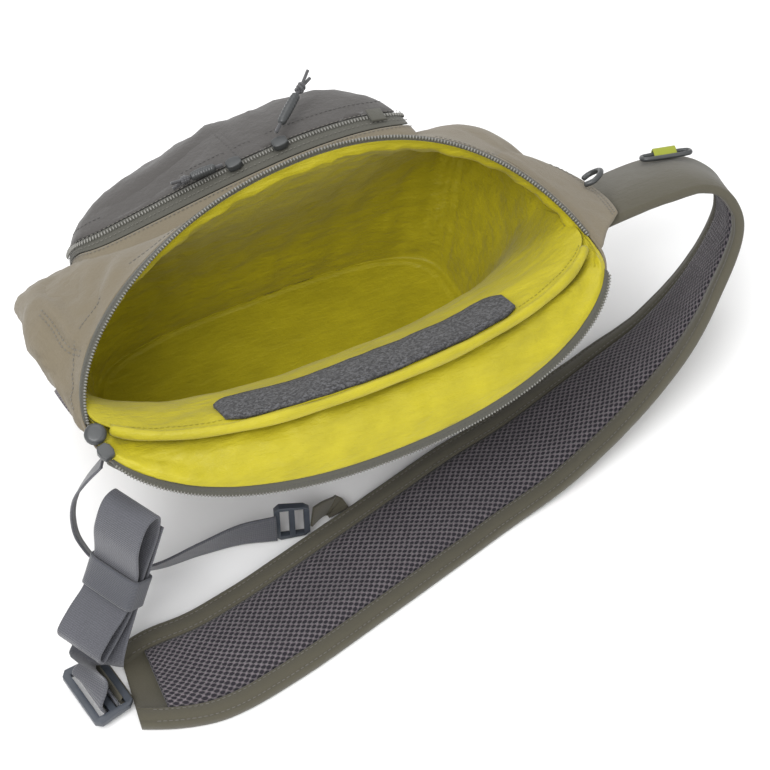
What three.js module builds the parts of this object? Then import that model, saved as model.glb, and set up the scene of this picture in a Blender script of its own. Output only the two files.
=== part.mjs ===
// Fishing tackle sling bag, standing open on its base with its shoulder strap laid on the floor.
// Millimetres, +Z up, +X towards the shoulder end, +Y towards the front pocket.
// The origin is the middle of the flat base, on the floor.
import * as THREE from "three";

// Body sizes
const BAG_LENGTH = 302; // mouth corner to mouth corner
const BAG_HEIGHT = 170; // floor to the top of the front rim
const BAG_DEPTH = 146; // front to back of the padded body, without its pocket
const SHELL_WALL = 1.5; // padded outer cloth
const LINING_WALL = 1.2;
const CLEARANCE = 0.35; // gap between sewn pieces
const RIM_TWIST = 20; // how much higher the front rim stands at the shoulder end

// Slip pocket sizes
const HEM_RADIUS = 3.2;
const POCKET_SLACK = 9; // how far the slip pocket's mouth stands off the back wall
const SLIP_WALL = 1.2;
const LOOP_STRIP_WALL = 1.4;

// Main zip sizes
const ZIP_WIDTH = 5.5;
const ZIP_THICKNESS = 2.4;
const ZIP_CLEARANCE = 0.55; // gap to the rim it is sewn to
const SLIDER_LENGTH = 9;
const SLIDER_WIDTH = 8;
const SLIDER_HEIGHT = 4;
const CORNER_TAB_RADIUS = 6;
const CORNER_TAB_THICKNESS = 3.5;
const CORNER_TAB_LIFT = 3.4; // its underside above the mouth's corner
const MAIN_SLIDER_LIFT = 3; // its underside above the rim
const MAIN_SLIDER_SHARE = 0.8; // from the mouth's corner to the first column of the back zip

// Back panel sizes
const BACK_MESH_THICKNESS = 5;
const BACK_BINDING_THICKNESS = 2.2;

// Front pocket sizes
const POCKET_LENGTH = 196;
const POCKET_OFFSET = -8; // the pocket's middle, towards the webbing end
const POCKET_REACH = 86; // base middle to the crown of the pocket's face
const POCKET_BOW = 10; // how far the face falls back at its two ends
const POCKET_LEAST = 20; // the pocket's depth at its foot
const POCKET_WALL = 1.6;
const LEFT_SLIDER_AT = -11; // along the bag, from its middle
const RIGHT_SLIDER_AT = 17;
const PULL_RADIUS = 3; // the molded tube on each pull
const POCKET_TAB_LENGTH = 9;
const POCKET_TAB_WIDTH = 11;
const POCKET_TAB_THICKNESS = 1.6;

// Strap sizes
const STRAP_REACH = 0.861 * BAG_LENGTH; // base middle to the strap's furthest bend
const STRAP_SIDE = 1.781 * BAG_DEPTH; // the same measure for the strap's route across the bag
const STRAP_WIDTH = 70;
const STRAP_CLOTH = 2;
const STRAP_EDGE = 12; // padded border beside the mesh
const STRAP_THICKNESS = 7.5;
const STRAP_CROWN = 1.6; // how far the mesh stands above the borders
const PAD_CLEARANCE = 0.8;
const WING_THICKNESS = 3;

// Webbing sizes
const WEBBING_WIDTH = 30;
const WEBBING_THICKNESS = 1.5;
const WEBBING_RUN = 100; // sewn end to the bend above the buckle
const WEBBING_FALL = 58; // degrees below level
const WEBBING_HEADING = 207; // degrees in plan
const KEEPER_LENGTH = 18;
const KEEPER_WALL = 1.2;
const BUCKLE_LENGTH = 24;
const BUCKLE_WIDTH = 40;
const BUCKLE_THICKNESS = 4;
const SIDE_WEBBING_WIDTH = 20;
const SIDE_WEBBING_THICKNESS = 1.6;
const SIDE_BUCKLE_LENGTH = 20;
const SIDE_BUCKLE_WIDTH = 26;
const SIDE_BUCKLE_THICKNESS = 4;
const SIDE_TAB_WIDTH = 13;
const SIDE_BUCKLE_BACK = 4; // keeps the side buckle clear of the strap's inner edge
const TAB_THICKNESS = 1.6; // the cloth tabs that hold the two buckles

// Fittings on the strap
const GEAR_LOOP_WIDTH = 15;
const GEAR_LOOP_REACH = 17;
const GEAR_LOOP_RADIUS = 1.8;
const DOCK_LENGTH = 30;
const DOCK_WIDTH = 8;
const DOCK_RADIUS = 1.8;
const DOCK_TAB_WIDTH = 14;
const DOCK_TAB_THICKNESS = 1.2;

const RAD = Math.PI / 180;
const vec = (x, y, z) => new THREE.Vector3(x, y, z);

const COLOURS = {
  canvas: [0x9e9480, 0.9],
  lining: [0xc8be2d, 0.6],
  pocket: [0x6c6864, 0.85],
  trim: [0x5f6066, 0.8],
  strap: [0x7e7a6c, 0.9],
  mesh: [0x69626a, 0.95],
  webbing: [0x6e6f78, 0.85],
  plastic: [0x555f6c, 0.45],
  accent: [0xa9b04a, 0.7],
};

const bag = new THREE.Group();

// Closed solids

// One closed mesh from points and faces, turned so that its faces point outwards.
function addSolid(name, colour, points, faces) {
  let volume = 0;
  for (const [a, b, c] of faces) {
    volume += points[a].dot(points[b].clone().cross(points[c]));
  }
  const positions = [];
  for (const [a, b, c] of faces) {
    const order = volume > 0 ? [a, b, c] : [a, c, b];
    for (const i of order) positions.push(points[i].x, points[i].y, points[i].z);
  }
  const geometry = new THREE.BufferGeometry();
  geometry.setAttribute("position", new THREE.Float32BufferAttribute(positions, 3));
  geometry.computeVertexNormals();
  return addMesh(name, colour, geometry);
}

function addMesh(name, colour, geometry) {
  const [hex, roughness] = COLOURS[colour];
  const material = new THREE.MeshStandardMaterial({ color: hex, roughness, metalness: 0 });
  const mesh = new THREE.Mesh(geometry, material);
  mesh.name = name;
  bag.add(mesh);
  return mesh;
}

// Faces of a grid of points: rows[j][i]; closed joins each row's last point to its first.
function gridFaces(rowCount, columnCount, start, closed, flip) {
  const faces = [];
  const columns = closed ? columnCount : columnCount - 1;
  for (let j = 0; j < rowCount - 1; j++) {
    for (let i = 0; i < columns; i++) {
      const k = (i + 1) % columnCount;
      const a = start + j * columnCount + i;
      const b = start + j * columnCount + k;
      const c = start + (j + 1) * columnCount + k;
      const d = start + (j + 1) * columnCount + i;
      if (flip) faces.push([a, c, b], [a, d, c]);
      else faces.push([a, b, c], [a, c, d]);
    }
  }
  return faces;
}

// A sheet with two faces, given as equal grids, closed along all four edges.
function addSheet(name, colour, outer, inner) {
  const rows = outer.length;
  const columns = outer[0].length;
  const half = rows * columns;
  const faces = [
    ...gridFaces(rows, columns, 0, false, false),
    ...gridFaces(rows, columns, half, false, true),
  ];
  const edge = [];
  for (let i = 0; i < columns; i++) edge.push(i);
  for (let j = 1; j < rows; j++) edge.push(j * columns + columns - 1);
  for (let i = columns - 2; i >= 0; i--) edge.push((rows - 1) * columns + i);
  for (let j = rows - 2; j > 0; j--) edge.push(j * columns);
  edge.forEach((a, n) => {
    const b = edge[(n + 1) % edge.length];
    faces.push([b, a, half + a], [b, half + a, half + b]);
  });
  return addSolid(name, colour, [...outer.flat(), ...inner.flat()], faces);
}

// A ring-shaped wall: two grids that close on themselves, joined at the first and last rows.
function addRingWall(name, colour, outer, inner) {
  const rows = outer.length;
  const columns = outer[0].length;
  const half = rows * columns;
  const faces = [
    ...gridFaces(rows, columns, 0, true, false),
    ...gridFaces(rows, columns, half, true, true),
  ];
  for (let i = 0; i < columns; i++) {
    const k = (i + 1) % columns;
    const top = (rows - 1) * columns;
    faces.push([i, half + i, half + k], [i, half + k, k]);
    faces.push([top + i, top + k, half + top + k], [top + i, half + top + k, half + top + i]);
  }
  return addSolid(name, colour, [...outer.flat(), ...inner.flat()], faces);
}

// A cup: like a ring wall, with both grids closed at their first row by a flat fan.
function addCup(name, colour, outer, inner) {
  const rows = outer.length;
  const columns = outer[0].length;
  const half = rows * columns;
  const points = [...outer.flat(), ...inner.flat()];
  const faces = [
    ...gridFaces(rows, columns, 0, true, false),
    ...gridFaces(rows, columns, half, true, true),
  ];
  const middle = (ring) => ring.reduce((sum, p) => sum.add(p), vec(0, 0, 0)).divideScalar(columns);
  const outerMiddle = points.push(middle(outer[0])) - 1;
  const innerMiddle = points.push(middle(inner[0])) - 1;
  const top = (rows - 1) * columns;
  for (let i = 0; i < columns; i++) {
    const k = (i + 1) % columns;
    faces.push([outerMiddle, k, i], [innerMiddle, half + i, half + k]);
    faces.push([top + i, top + k, half + top + k], [top + i, half + top + k, half + top + i]);
  }
  return addSolid(name, colour, points, faces);
}

// A section swept through frames {at, across, up}; the section is a list of [across, up] points.
// What would dip under the floor lies flat on it.
function addSweep(name, colour, frames, sectionAt, loop = false) {
  const rings = frames.map((f, i) =>
    sectionAt(i / (frames.length - 1)).map(([a, u]) => {
      const point = f.at.clone().addScaledVector(f.across, a).addScaledVector(f.up, u);
      point.z = Math.max(point.z, 0);
      return point;
    }),
  );
  const columns = rings[0].length;
  const faces = gridFaces(rings.length, columns, 0, true, false);
  const last = (rings.length - 1) * columns;
  if (loop) {
    for (let i = 0; i < columns; i++) {
      const k = (i + 1) % columns;
      faces.push([last + i, last + k, k], [last + i, k, i]);
    }
  } else {
    const outline = sectionAt(0.5).map(([a, u]) => new THREE.Vector2(a, u));
    if (THREE.ShapeUtils.isClockWise(outline)) throw new Error(name + ": section runs clockwise");
    for (const [a, b, c] of THREE.ShapeUtils.triangulateShape(outline, [])) {
      faces.push([c, b, a], [last + a, last + b, last + c]);
    }
  }
  return addSolid(name, colour, rings.flat(), faces);
}

// A flat plate of a given outline, in the plane of its across and along directions.
function addPlate(name, colour, outline, thickness, middle, across, along) {
  const geometry = new THREE.ExtrudeGeometry(outline, { depth: thickness, bevelEnabled: false });
  geometry.translate(0, 0, -thickness / 2);
  const mesh = addMesh(name, colour, geometry);
  const up = across.clone().cross(along).normalize();
  mesh.matrix.makeBasis(across, up.clone().cross(across), up).setPosition(middle);
  mesh.matrix.decompose(mesh.position, mesh.quaternion, mesh.scale);
}

const circle = (radius, sides) =>
  Array.from({ length: sides }, (_, i) => {
    const angle = (i / sides) * 2 * Math.PI;
    return [radius * Math.cos(angle), radius * Math.sin(angle)];
  });

// Frames at given points; hint is never along the path, and turns into the sideways direction.
function framesThrough(points, hint, loop = false) {
  return points.map((at, i) => {
    const before = points[loop ? (i - 1 + points.length) % points.length : Math.max(0, i - 1)];
    const after = points[loop ? (i + 1) % points.length : Math.min(points.length - 1, i + 1)];
    const along = after.clone().sub(before).normalize();
    const up = hint.clone().cross(along).normalize();
    return { at, across: along.clone().cross(up).normalize(), up, along };
  });
}

// Frames whose sideways direction turns from one hint to another between two shares of the path.
function framesTurning(points, first, second, from, to) {
  return points.map((at, i) => {
    const before = points[Math.max(0, i - 1)];
    const after = points[Math.min(points.length - 1, i + 1)];
    const along = after.clone().sub(before).normalize();
    const turn = THREE.MathUtils.clamp((i / (points.length - 1) - from) / (to - from), 0, 1);
    const up = first.clone().lerp(second, turn).cross(along).normalize();
    return { at, across: along.clone().cross(up).normalize(), up, along };
  });
}

// Frames spaced evenly along a smooth curve through the given points.
function framesAlong(points, count, hint) {
  const curve = new THREE.CatmullRomCurve3(points, false, "centripetal");
  return framesThrough(curve.getSpacedPoints(count - 1), hint);
}

// Body surface
// Each row is one ring round the bag, from the base (first) to the open rim (last).
// reach: half length; end: where the two ends lie; front and back: the middle of each long side.
// corner: how far the two front corners stand out beyond the run between front and end.
// Lengths are shares of half BAG_LENGTH (reach), BAG_DEPTH (in, out) and BAG_HEIGHT (up).
const RING_COLUMNS = [
  "reach", "endIn", "endUp", "frontOut", "frontUp", "backOut", "backUp", "square", "corner",
];
const RINGS = [
  [0.72, 0.0, 0.0, 0.29, 0.0, -0.27, 0.0, 3.2, 0],
  [0.8, 0.0, 0.03, 0.34, 0.03, -0.34, 0.03, 3.2, 0],
  [0.89, -0.01, 0.25, 0.36, 0.25, -0.41, 0.25, 3.0, 0.04],
  [0.985, -0.04, 0.49, 0.27, 0.49, -0.56, 0.49, 2.6, 0.16],
  [1.02, -0.27, 0.65, 0.12, 0.72, -0.76, 0.635, 2.35, 0.2],
  [1.012, -0.51, 0.7, 0.04, 0.86, -0.94, 0.7, 2.25, 0.12],
  [1.005, -0.625, 0.722, 0.0, 0.935, -1.01, 0.65, 2.2, 0.05],
  [1.0, -0.685, 0.735, -0.035, 0.995, -1.075, 0.58, 2.2, 0],
].map((row) => Object.fromEntries(RING_COLUMNS.map((column, i) => [column, row[i]])));
const LAST = RINGS.length - 1;
const CREST = 5; // the ring where the back wall folds over

function ringPoint(ring, angle) {
  const c = Math.cos(angle);
  const s = Math.sin(angle);
  const k = (Math.abs(c) ** ring.square + Math.abs(s) ** ring.square) ** (-1 / ring.square);
  const side = k * Math.abs(s);
  const out = s > 0 ? ring.frontOut : ring.backOut;
  const up = s > 0 ? ring.frontUp : ring.backUp;
  const twist = s > 0 ? (RIM_TWIST / BAG_HEIGHT) * k * c * side ** 2 * ring.frontUp ** 2 : 0;
  const corner = s > 0 ? 4 * ring.corner * side * (1 - Math.min(1, side)) : 0;
  return vec(
    (ring.reach * k * c * BAG_LENGTH) / 2,
    (ring.endIn + (out - ring.endIn) * side + corner) * BAG_DEPTH,
    (ring.endUp + (up - ring.endUp) * side ** 2 + twist) * BAG_HEIGHT,
  );
}

// A point of the outer surface: angle round the bag (0 at the shoulder end), level from 0 to LAST.
function surface(angle, level) {
  const j = Math.min(Math.floor(level), LAST - 1);
  const t = level - j;
  const at = (n) => ringPoint(RINGS[Math.max(0, Math.min(LAST, n))], angle);
  const [a, b, c, d] = [at(j - 1), at(j), at(j + 1), at(j + 2)];
  const smooth = (p, q, r, s) =>
    0.5 * (2 * q + (r - p) * t + (2 * p - 5 * q + 4 * r - s) * t ** 2 + (3 * q - p - 3 * r + s) * t ** 3);
  return vec(smooth(a.x, b.x, c.x, d.x), smooth(a.y, b.y, c.y, d.y), smooth(a.z, b.z, c.z, d.z));
}

function outward(angle, level) {
  const low = Math.max(0.02, level - 0.05);
  const high = Math.min(LAST, low + 0.1);
  const up = surface(angle, high).sub(surface(angle, low));
  const round = surface(angle + 0.03, level).sub(surface(angle - 0.03, level));
  return round.cross(up).normalize();
}

// A point at a depth under the outer surface, towards the inside of the bag.
const under = (angle, level, depth) =>
  surface(angle, level).addScaledVector(outward(angle, level), -depth);

const ROUND = 44;
const LEVELS = [0, 1, 2, 3, 4, 4.5, 5, 5.5, 6, 6.5, 7];
const roundBag = (make) => Array.from({ length: ROUND }, (_, i) => make((i / ROUND) * 2 * Math.PI));

function cupRow(level, depth, floor) {
  return roundBag((angle) => {
    const p = under(angle, level, depth);
    if (level === 0) p.z = floor;
    else p.z = Math.max(p.z, floor + level * 2);
    return p;
  });
}

addCup(
  "main_shell",
  "canvas",
  LEVELS.map((level) => cupRow(level, 0, 0)),
  LEVELS.map((level) => cupRow(level, SHELL_WALL, SHELL_WALL)),
);
const LINING_OUT = SHELL_WALL + CLEARANCE;
const LINING_IN = LINING_OUT + LINING_WALL;
addCup(
  "lining",
  "lining",
  LEVELS.map((level) => cupRow(level, LINING_OUT, LINING_OUT)),
  LEVELS.map((level) => cupRow(level, LINING_IN, LINING_IN)),
);

// Pieces that lie on the body take their rows and columns from the body's own, so their facets
// run side by side.
const HALF_ROUND = ROUND / 2; // columns on the back side run from HALF_ROUND to ROUND
const columnAngle = (column) => (column / ROUND) * 2 * Math.PI;
const mix = (a, b, t) => a + (b - a) * t;
const shares = (from, to, count) =>
  Array.from({ length: count }, (_, i) => mix(from, to, i / (count - 1)));
const counted = (from, to) => shares(from, to, to - from + 1);
const backShare = (column) => (column - HALF_ROUND) / HALF_ROUND;

// A point under one of the body's own flat facets.
function underFacet(angle, level, depth) {
  const j = Math.min(LEVELS.findLastIndex((row) => row <= level), LEVELS.length - 2);
  const t = (level - LEVELS[j]) / (LEVELS[j + 1] - LEVELS[j]);
  return under(angle, LEVELS[j], depth).lerp(under(angle, LEVELS[j + 1], depth), t);
}

// A grid over the back wall; depth is measured inwards from the outer surface.
function backGrid(columns, levels, depth) {
  return levels.map((level) =>
    columns.map((column) => {
      return underFacet(columnAngle(column), level, depth(backShare(column), level));
    }),
  );
}

// Slip pocket on the back wall
// It stands off the lining by nothing at its sides and foot, and by most at its mouth.
const SLIP_LEVELS = [2, 3, 4, 4.5, 5];
const SLIP_COLUMNS = counted(HALF_ROUND + 2, ROUND - 2);
function slipDepth(share, level) {
  const rise = (level - SLIP_LEVELS[0]) / (CREST - SLIP_LEVELS[0]);
  return LINING_IN + CLEARANCE + POCKET_SLACK * Math.sin(Math.PI * share) ** 0.6 * rise ** 2;
}
addSheet(
  "slip_pocket",
  "lining",
  backGrid(SLIP_COLUMNS, SLIP_LEVELS, slipDepth),
  backGrid(SLIP_COLUMNS, SLIP_LEVELS, (share, level) => slipDepth(share, level) + SLIP_WALL),
);

const hemPoints = SLIP_COLUMNS.map((column) => {
  const angle = columnAngle(column);
  const top = slipDepth(backShare(column), CREST);
  const outwards = under(angle, CREST, top).sub(under(angle, CREST - 0.5, top)).normalize();
  const rolled = under(angle, CREST, top + HEM_RADIUS - SLIP_WALL);
  return rolled.addScaledVector(outwards, HEM_RADIUS + 4 * CLEARANCE);
});
const hemFrames = framesThrough(hemPoints.slice(1, -1), vec(0, 0, 1));
addSweep("slip_pocket_hem", "lining", hemFrames, () => circle(HEM_RADIUS, 8));

const STRIP_COLUMNS = counted(HALF_ROUND + 7, HALF_ROUND + 15);
const stripDepth = (share, level) => slipDepth(share, level) + SLIP_WALL + CLEARANCE;
addSheet(
  "loop_strip",
  "trim",
  backGrid(STRIP_COLUMNS, [4.5, 5], stripDepth),
  backGrid(STRIP_COLUMNS, [4.5, 5], (share, level) => stripDepth(share, level) + LOOP_STRIP_WALL),
);

// Main zip, one half along each rim
function addRimZip(name, columns) {
  const frames = columns.map((column) => {
    const angle = columnAngle(column);
    const rim = surface(angle, LAST);
    const away = rim.clone().sub(surface(angle, LAST - 0.1)).normalize();
    const up = outward(angle, LAST);
    const at = rim
      .addScaledVector(up, -LINING_IN / 2)
      .addScaledVector(away, ZIP_CLEARANCE + ZIP_WIDTH / 2);
    return { at, across: away, up };
  });
  const w = ZIP_WIDTH / 2;
  const h = ZIP_THICKNESS / 2;
  const section = [[-w, -h], [w - 1, -h], [w, 0], [w - 1, h], [-w, h]];
  addSweep(name, "trim", frames, () => section);
}
addRimZip("main_zip_front", counted(1, HALF_ROUND - 1));
addRimZip("main_zip_back", counted(HALF_ROUND + 2, ROUND - 2));

// Round cap over the mouth's left corner, and the slider parked beside it
const mouthCorner = surface(Math.PI, LAST);
const capAxis = vec(-0.15, -0.3, 0.94).normalize();
const capFoot = mouthCorner.clone().add(vec(3, -0.5, CORNER_TAB_LIFT));
const capPoints = [0, 0.6, 1].map((share) => {
  return capFoot.clone().addScaledVector(capAxis, share * CORNER_TAB_THICKNESS);
});
addSweep("corner_tab", "trim", framesThrough(capPoints, vec(1, 0, 0)), (t) => {
  return circle(t < 0.9 ? CORNER_TAB_RADIUS : 0.7 * CORNER_TAB_RADIUS, 16);
});

// A slider's outline: wide at its shoulders, narrow where the closed teeth leave it.
function sliderOutline() {
  const [w, l] = [SLIDER_WIDTH / 2, SLIDER_LENGTH / 2];
  return new THREE.Shape(
    [[-0.7, -1], [0.7, -1], [1, -0.4], [1, 0.4], [0.6, 1], [-0.6, 1], [-1, 0.4], [-1, -0.4]].map(
      ([x, y]) => new THREE.Vector2(x * w, y * l),
    ),
  );
}
const trackBeyond = surface(columnAngle(HALF_ROUND + 2), LAST);
const trackAlong = mouthCorner.clone().sub(trackBeyond).normalize();
const trackAcross = trackAlong.clone().cross(vec(0, 0, 1)).normalize();
const sliderAt = mouthCorner.clone().lerp(trackBeyond, MAIN_SLIDER_SHARE);
sliderAt.z += MAIN_SLIDER_LIFT + SLIDER_HEIGHT / 2;
addPlate("main_zip_slider", "plastic", sliderOutline(), SLIDER_HEIGHT, sliderAt, trackAcross, trackAlong);

// Padded mesh on the outside of the back wall, with its bound edge under the rim
const PANEL_COLUMNS = counted(HALF_ROUND + 2, ROUND - 2);
const PANEL_LEVELS = [2, 3, 4, 4.5, 5, 5.5, 6, 6.5];
addSheet(
  "back_panel_mesh",
  "mesh",
  backGrid(PANEL_COLUMNS, PANEL_LEVELS, () => -CLEARANCE),
  backGrid(PANEL_COLUMNS, PANEL_LEVELS, (share, level) => {
    const edge = Math.min(1, (level - 2) / 0.9, (6.5 - level) / 0.5, share * 12 - 0.9, 11.1 - share * 12);
    return -CLEARANCE - mix(0.4, 1, Math.max(0, edge)) * BACK_MESH_THICKNESS;
  }),
);
const BINDING_LEVELS = [6.58, 7];
addSheet(
  "back_panel_binding",
  "trim",
  backGrid(PANEL_COLUMNS, BINDING_LEVELS, () => -CLEARANCE),
  backGrid(PANEL_COLUMNS, BINDING_LEVELS, () => -CLEARANCE - BACK_BINDING_THICKNESS),
);

// Front pocket
// A wedge: the body leans back towards its rim, and the pocket's face hangs nearly upright, so the
// pocket is deepest at its top. Its walls sag a little on their way out.
const POCKET_AXIS = vec(0, 0.99, -0.12).normalize();
const GUSSET_SHARE = 0.16; // shares of the depth taken by the walls, from the body outwards
const BAND_SHARE = 0.18;
// The pocket's outline on the body: share of half POCKET_LENGTH along it, and body level.
const POCKET_COLUMNS = ["along", "level"];
const POCKET_OUTLINE = [
  [-1.0, 4.15],
  [-0.9, 4.5],
  [-0.5, 4.75],
  [0.0, 4.95],
  [0.5, 5.1],
  [0.95, 5.1],
  [1.02, 4.8],
  [1.02, 3.9],
  [1.0, 3.1],
  [0.9, 2.3],
  [0.5, 1.8],
  [-0.1, 1.7],
  [-0.68, 1.8],
  [-0.95, 2.3],
  [-1.03, 3.2],
].map((row) => Object.fromEntries(POCKET_COLUMNS.map((column, i) => [column, row[i]])));

// The point of the front surface at a distance along the bag, at a level.
function frontPoint(x, level) {
  let [near, far] = [0, Math.PI];
  for (let step = 0; step < 24; step++) {
    const middle = (near + far) / 2;
    if (surface(middle, level).x > x) near = middle;
    else far = middle;
  }
  return surface((near + far) / 2, level);
}

const outlineCurve = new THREE.CatmullRomCurve3(
  POCKET_OUTLINE.map((row) => vec(row.along, row.level / LAST, 0)),
  true,
);
const POCKET_ROUND = 38;
const pocketMiddle = vec(0, 3.5 / LAST, 0);

// A point of the pocket: its share round the outline, its scale about the middle, and how far out
// it lies, as a share of the pocket's depth there and a length added to that.
function pocketPoint(share, scale, depth, added = 0) {
  const on = outlineCurve.getPoint(share).sub(pocketMiddle).multiplyScalar(scale).add(pocketMiddle);
  const body = frontPoint(POCKET_OFFSET + (on.x * POCKET_LENGTH) / 2, on.y * LAST);
  const reach = Math.max(POCKET_LEAST, POCKET_REACH - POCKET_BOW * on.x ** 2 - body.y);
  return body.addScaledVector(POCKET_AXIS, depth * reach + added);
}
const pocketRing = (scale, depth, added) =>
  Array.from({ length: POCKET_ROUND }, (_, i) => pocketPoint(i / POCKET_ROUND, scale, depth, added));
const POCKET_SEAT = 1.6; // the gusset is sewn on over the curved body
const wallInset = 1 - (2 * POCKET_WALL) / POCKET_LENGTH;
// Each end of a wall is [scale, share of the depth, length added].
function addPocketWall(name, colour, ends) {
  addRingWall(
    name,
    colour,
    ends.map(([scale, depth, added]) => pocketRing(scale, depth, added)),
    ends.map(([scale, depth, added]) => pocketRing(scale * wallInset ** 2, depth, added)),
  );
}
const bandEnd = GUSSET_SHARE + BAND_SHARE;
addPocketWall("pocket_gusset", "canvas", [[1, 0, POCKET_SEAT], [1, GUSSET_SHARE, 0]]);
addPocketWall("pocket_zip_band", "trim", [[1, GUSSET_SHARE, CLEARANCE], [0.985, bandEnd, 0]]);

// The face is a boxy panel: rings from its edge to its middle, then a fan.
const FACE_SQUARE = 3.2;
const FACE_SEAT = POCKET_WALL + CLEARANCE;
const FACE_EDGE = 0.98;
const FACE_SCALES = [0.2, 0.55, 0.8, 0.9, 0.95, FACE_EDGE];
const crown = (scale) => (1 - scale ** FACE_SQUARE) ** (1 / FACE_SQUARE);
const faceDepth = (scale) => {
  return bandEnd + ((1 - bandEnd) * (crown(scale) - crown(FACE_EDGE))) / (1 - crown(FACE_EDGE));
};
addCup(
  "pocket_face",
  "pocket",
  FACE_SCALES.map((scale) => pocketRing(scale, faceDepth(scale), FACE_SEAT)),
  FACE_SCALES.map((scale) => pocketRing(scale * wallInset, faceDepth(scale), FACE_SEAT - POCKET_WALL)),
);

// Sliders, pulls and end tab on the pocket's zip
const OUTLINE_TOP = 5 / 16; // the share of the outline that is its upper edge
function pocketZipFrame(x) {
  let [left, right] = [0, OUTLINE_TOP];
  for (let step = 0; step < 24; step++) {
    const middle = (left + right) / 2;
    if (pocketPoint(middle, 1, 0).x < x) left = middle;
    else right = middle;
  }
  const depth = GUSSET_SHARE + 0.75 * BAND_SHARE; // the zip runs nearer the band's outer edge
  const at = pocketPoint(left, 1, depth);
  const along = pocketPoint(left + 0.01, 1, depth).sub(at).normalize();
  const up = along.clone().cross(POCKET_AXIS).normalize();
  return { at, along, up, across: along.clone().cross(up).normalize() };
}
const SEWN_LIFT = 0.8; // height of a fitting's underside above the curved zip band
function addOnPocketZip(name, colour, x, outline, thickness) {
  const f = pocketZipFrame(x);
  const middle = f.at.clone().addScaledVector(f.up, SEWN_LIFT + thickness / 2);
  addPlate(name, colour, outline, thickness, middle, f.across, f.along);
}
addOnPocketZip("pocket_slider_left", "plastic", LEFT_SLIDER_AT, sliderOutline(), SLIDER_HEIGHT);
addOnPocketZip("pocket_slider_right", "plastic", RIGHT_SLIDER_AT, sliderOutline(), SLIDER_HEIGHT);
const [tabW, tabL] = [POCKET_TAB_WIDTH / 2, POCKET_TAB_LENGTH / 2];
const pocketTabOutline = new THREE.Shape(
  [[-tabW, -tabL], [tabW, -tabL], [tabW, tabL], [-tabW, tabL]].map(([x, y]) => new THREE.Vector2(x, y)),
);
const POCKET_TAB_AT = POCKET_OFFSET + 0.43 * POCKET_LENGTH;
addOnPocketZip("pocket_tab", "webbing", POCKET_TAB_AT, pocketTabOutline, POCKET_TAB_THICKNESS);

// A pull is cord, molded tube, cord, knot and cord end; radius is a share of PULL_RADIUS.
const PULL_COLUMNS = ["share", "radius"];
const PULL_SHAPE = [
  [0, 0.45],
  [0.12, 0.45],
  [0.17, 1],
  [0.6, 1],
  [0.64, 0.45],
  [0.7, 0.5],
  [0.76, 0.9],
  [0.83, 0.5],
  [1, 0.42],
].map((row) => Object.fromEntries(PULL_COLUMNS.map((column, i) => [column, row[i]])));
function addPull(name, points) {
  const curve = new THREE.CatmullRomCurve3(points, false, "centripetal");
  const frames = framesThrough(PULL_SHAPE.map((row) => curve.getPointAt(row.share)), vec(0, 0, 1));
  const rowAt = (t) => PULL_SHAPE[Math.round(t * (PULL_SHAPE.length - 1))];
  addSweep(name, "trim", frames, (t) => circle(rowAt(t).radius * PULL_RADIUS, 8));
}
// Distances from each pull's slider: along the bag, out along the pocket's axis, and up.
const LEFT_PULL_PATH = [[-6, 1, 4.6], [-14, 2, 5], [-24, 2.6, 5.4], [-36, 2.8, 5.6]];
const RIGHT_PULL_PATH = [[1, 6, 6], [9, 12, 9], [19, 20, 12], [28, 27, 14], [36, 34, 15]];
function pullPoints(x, path) {
  const f = pocketZipFrame(x);
  return path.map(([along, out, up]) => {
    const at = out > 4 ? f.at.clone().add(vec(along, 0, 0)) : pocketZipFrame(x + along).at;
    return at.addScaledVector(POCKET_AXIS, out).addScaledVector(f.up, up);
  });
}
addPull("pocket_pull_left", pullPoints(LEFT_SLIDER_AT, LEFT_PULL_PATH));
addPull("pocket_pull_right", pullPoints(RIGHT_SLIDER_AT, RIGHT_PULL_PATH));

// Shoulder strap
// A row for each section of its route. reach and side: the strap's middle in plan, as shares of
// STRAP_REACH and STRAP_SIDE; rise: its height as a share of BAG_HEIGHT; facing and tilt: degrees, the way its
// outer edge points in plan and how far that edge is raised.
const STRAP_COLUMNS = ["reach", "side", "rise", "facing", "tilt"];
const STRAP_ROUTE = [
  [-0.66, -0.668, 0, -98, 0],
  [-0.505, -0.69, 0, -84, 0],
  [-0.357, -0.672, 0, -78, 0],
  [-0.14, -0.622, 0, -77, 0],
  [0.076, -0.569, 0, -78, 0],
  [0.22, -0.534, 0.001, -78.5, 0.5],
  [0.365, -0.51, 0.018, -78, 5],
  [0.508, -0.475, 0.044, -77.5, 12],
  [0.648, -0.437, 0.08, -80, 21.5],
  [0.785, -0.4, 0.143, -89.5, 32.5],
  [0.903, -0.356, 0.257, -105, 35.5],
  [0.99, -0.309, 0.418, -114, 31],
  [1.0, -0.276, 0.508, -113, 29.5],
  [0.969, -0.24, 0.578, -108.5, 31],
  [0.912, -0.212, 0.611, -105.5, 31],
  [0.844, -0.197, 0.606, -106, 29.5],
  [0.735, -0.182, 0.574, -111, 28],
  [0.655, -0.172, 0.535, -114, 27],
].map((row) => Object.fromEntries(STRAP_COLUMNS.map((column, i) => [column, row[i]])));

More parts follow.
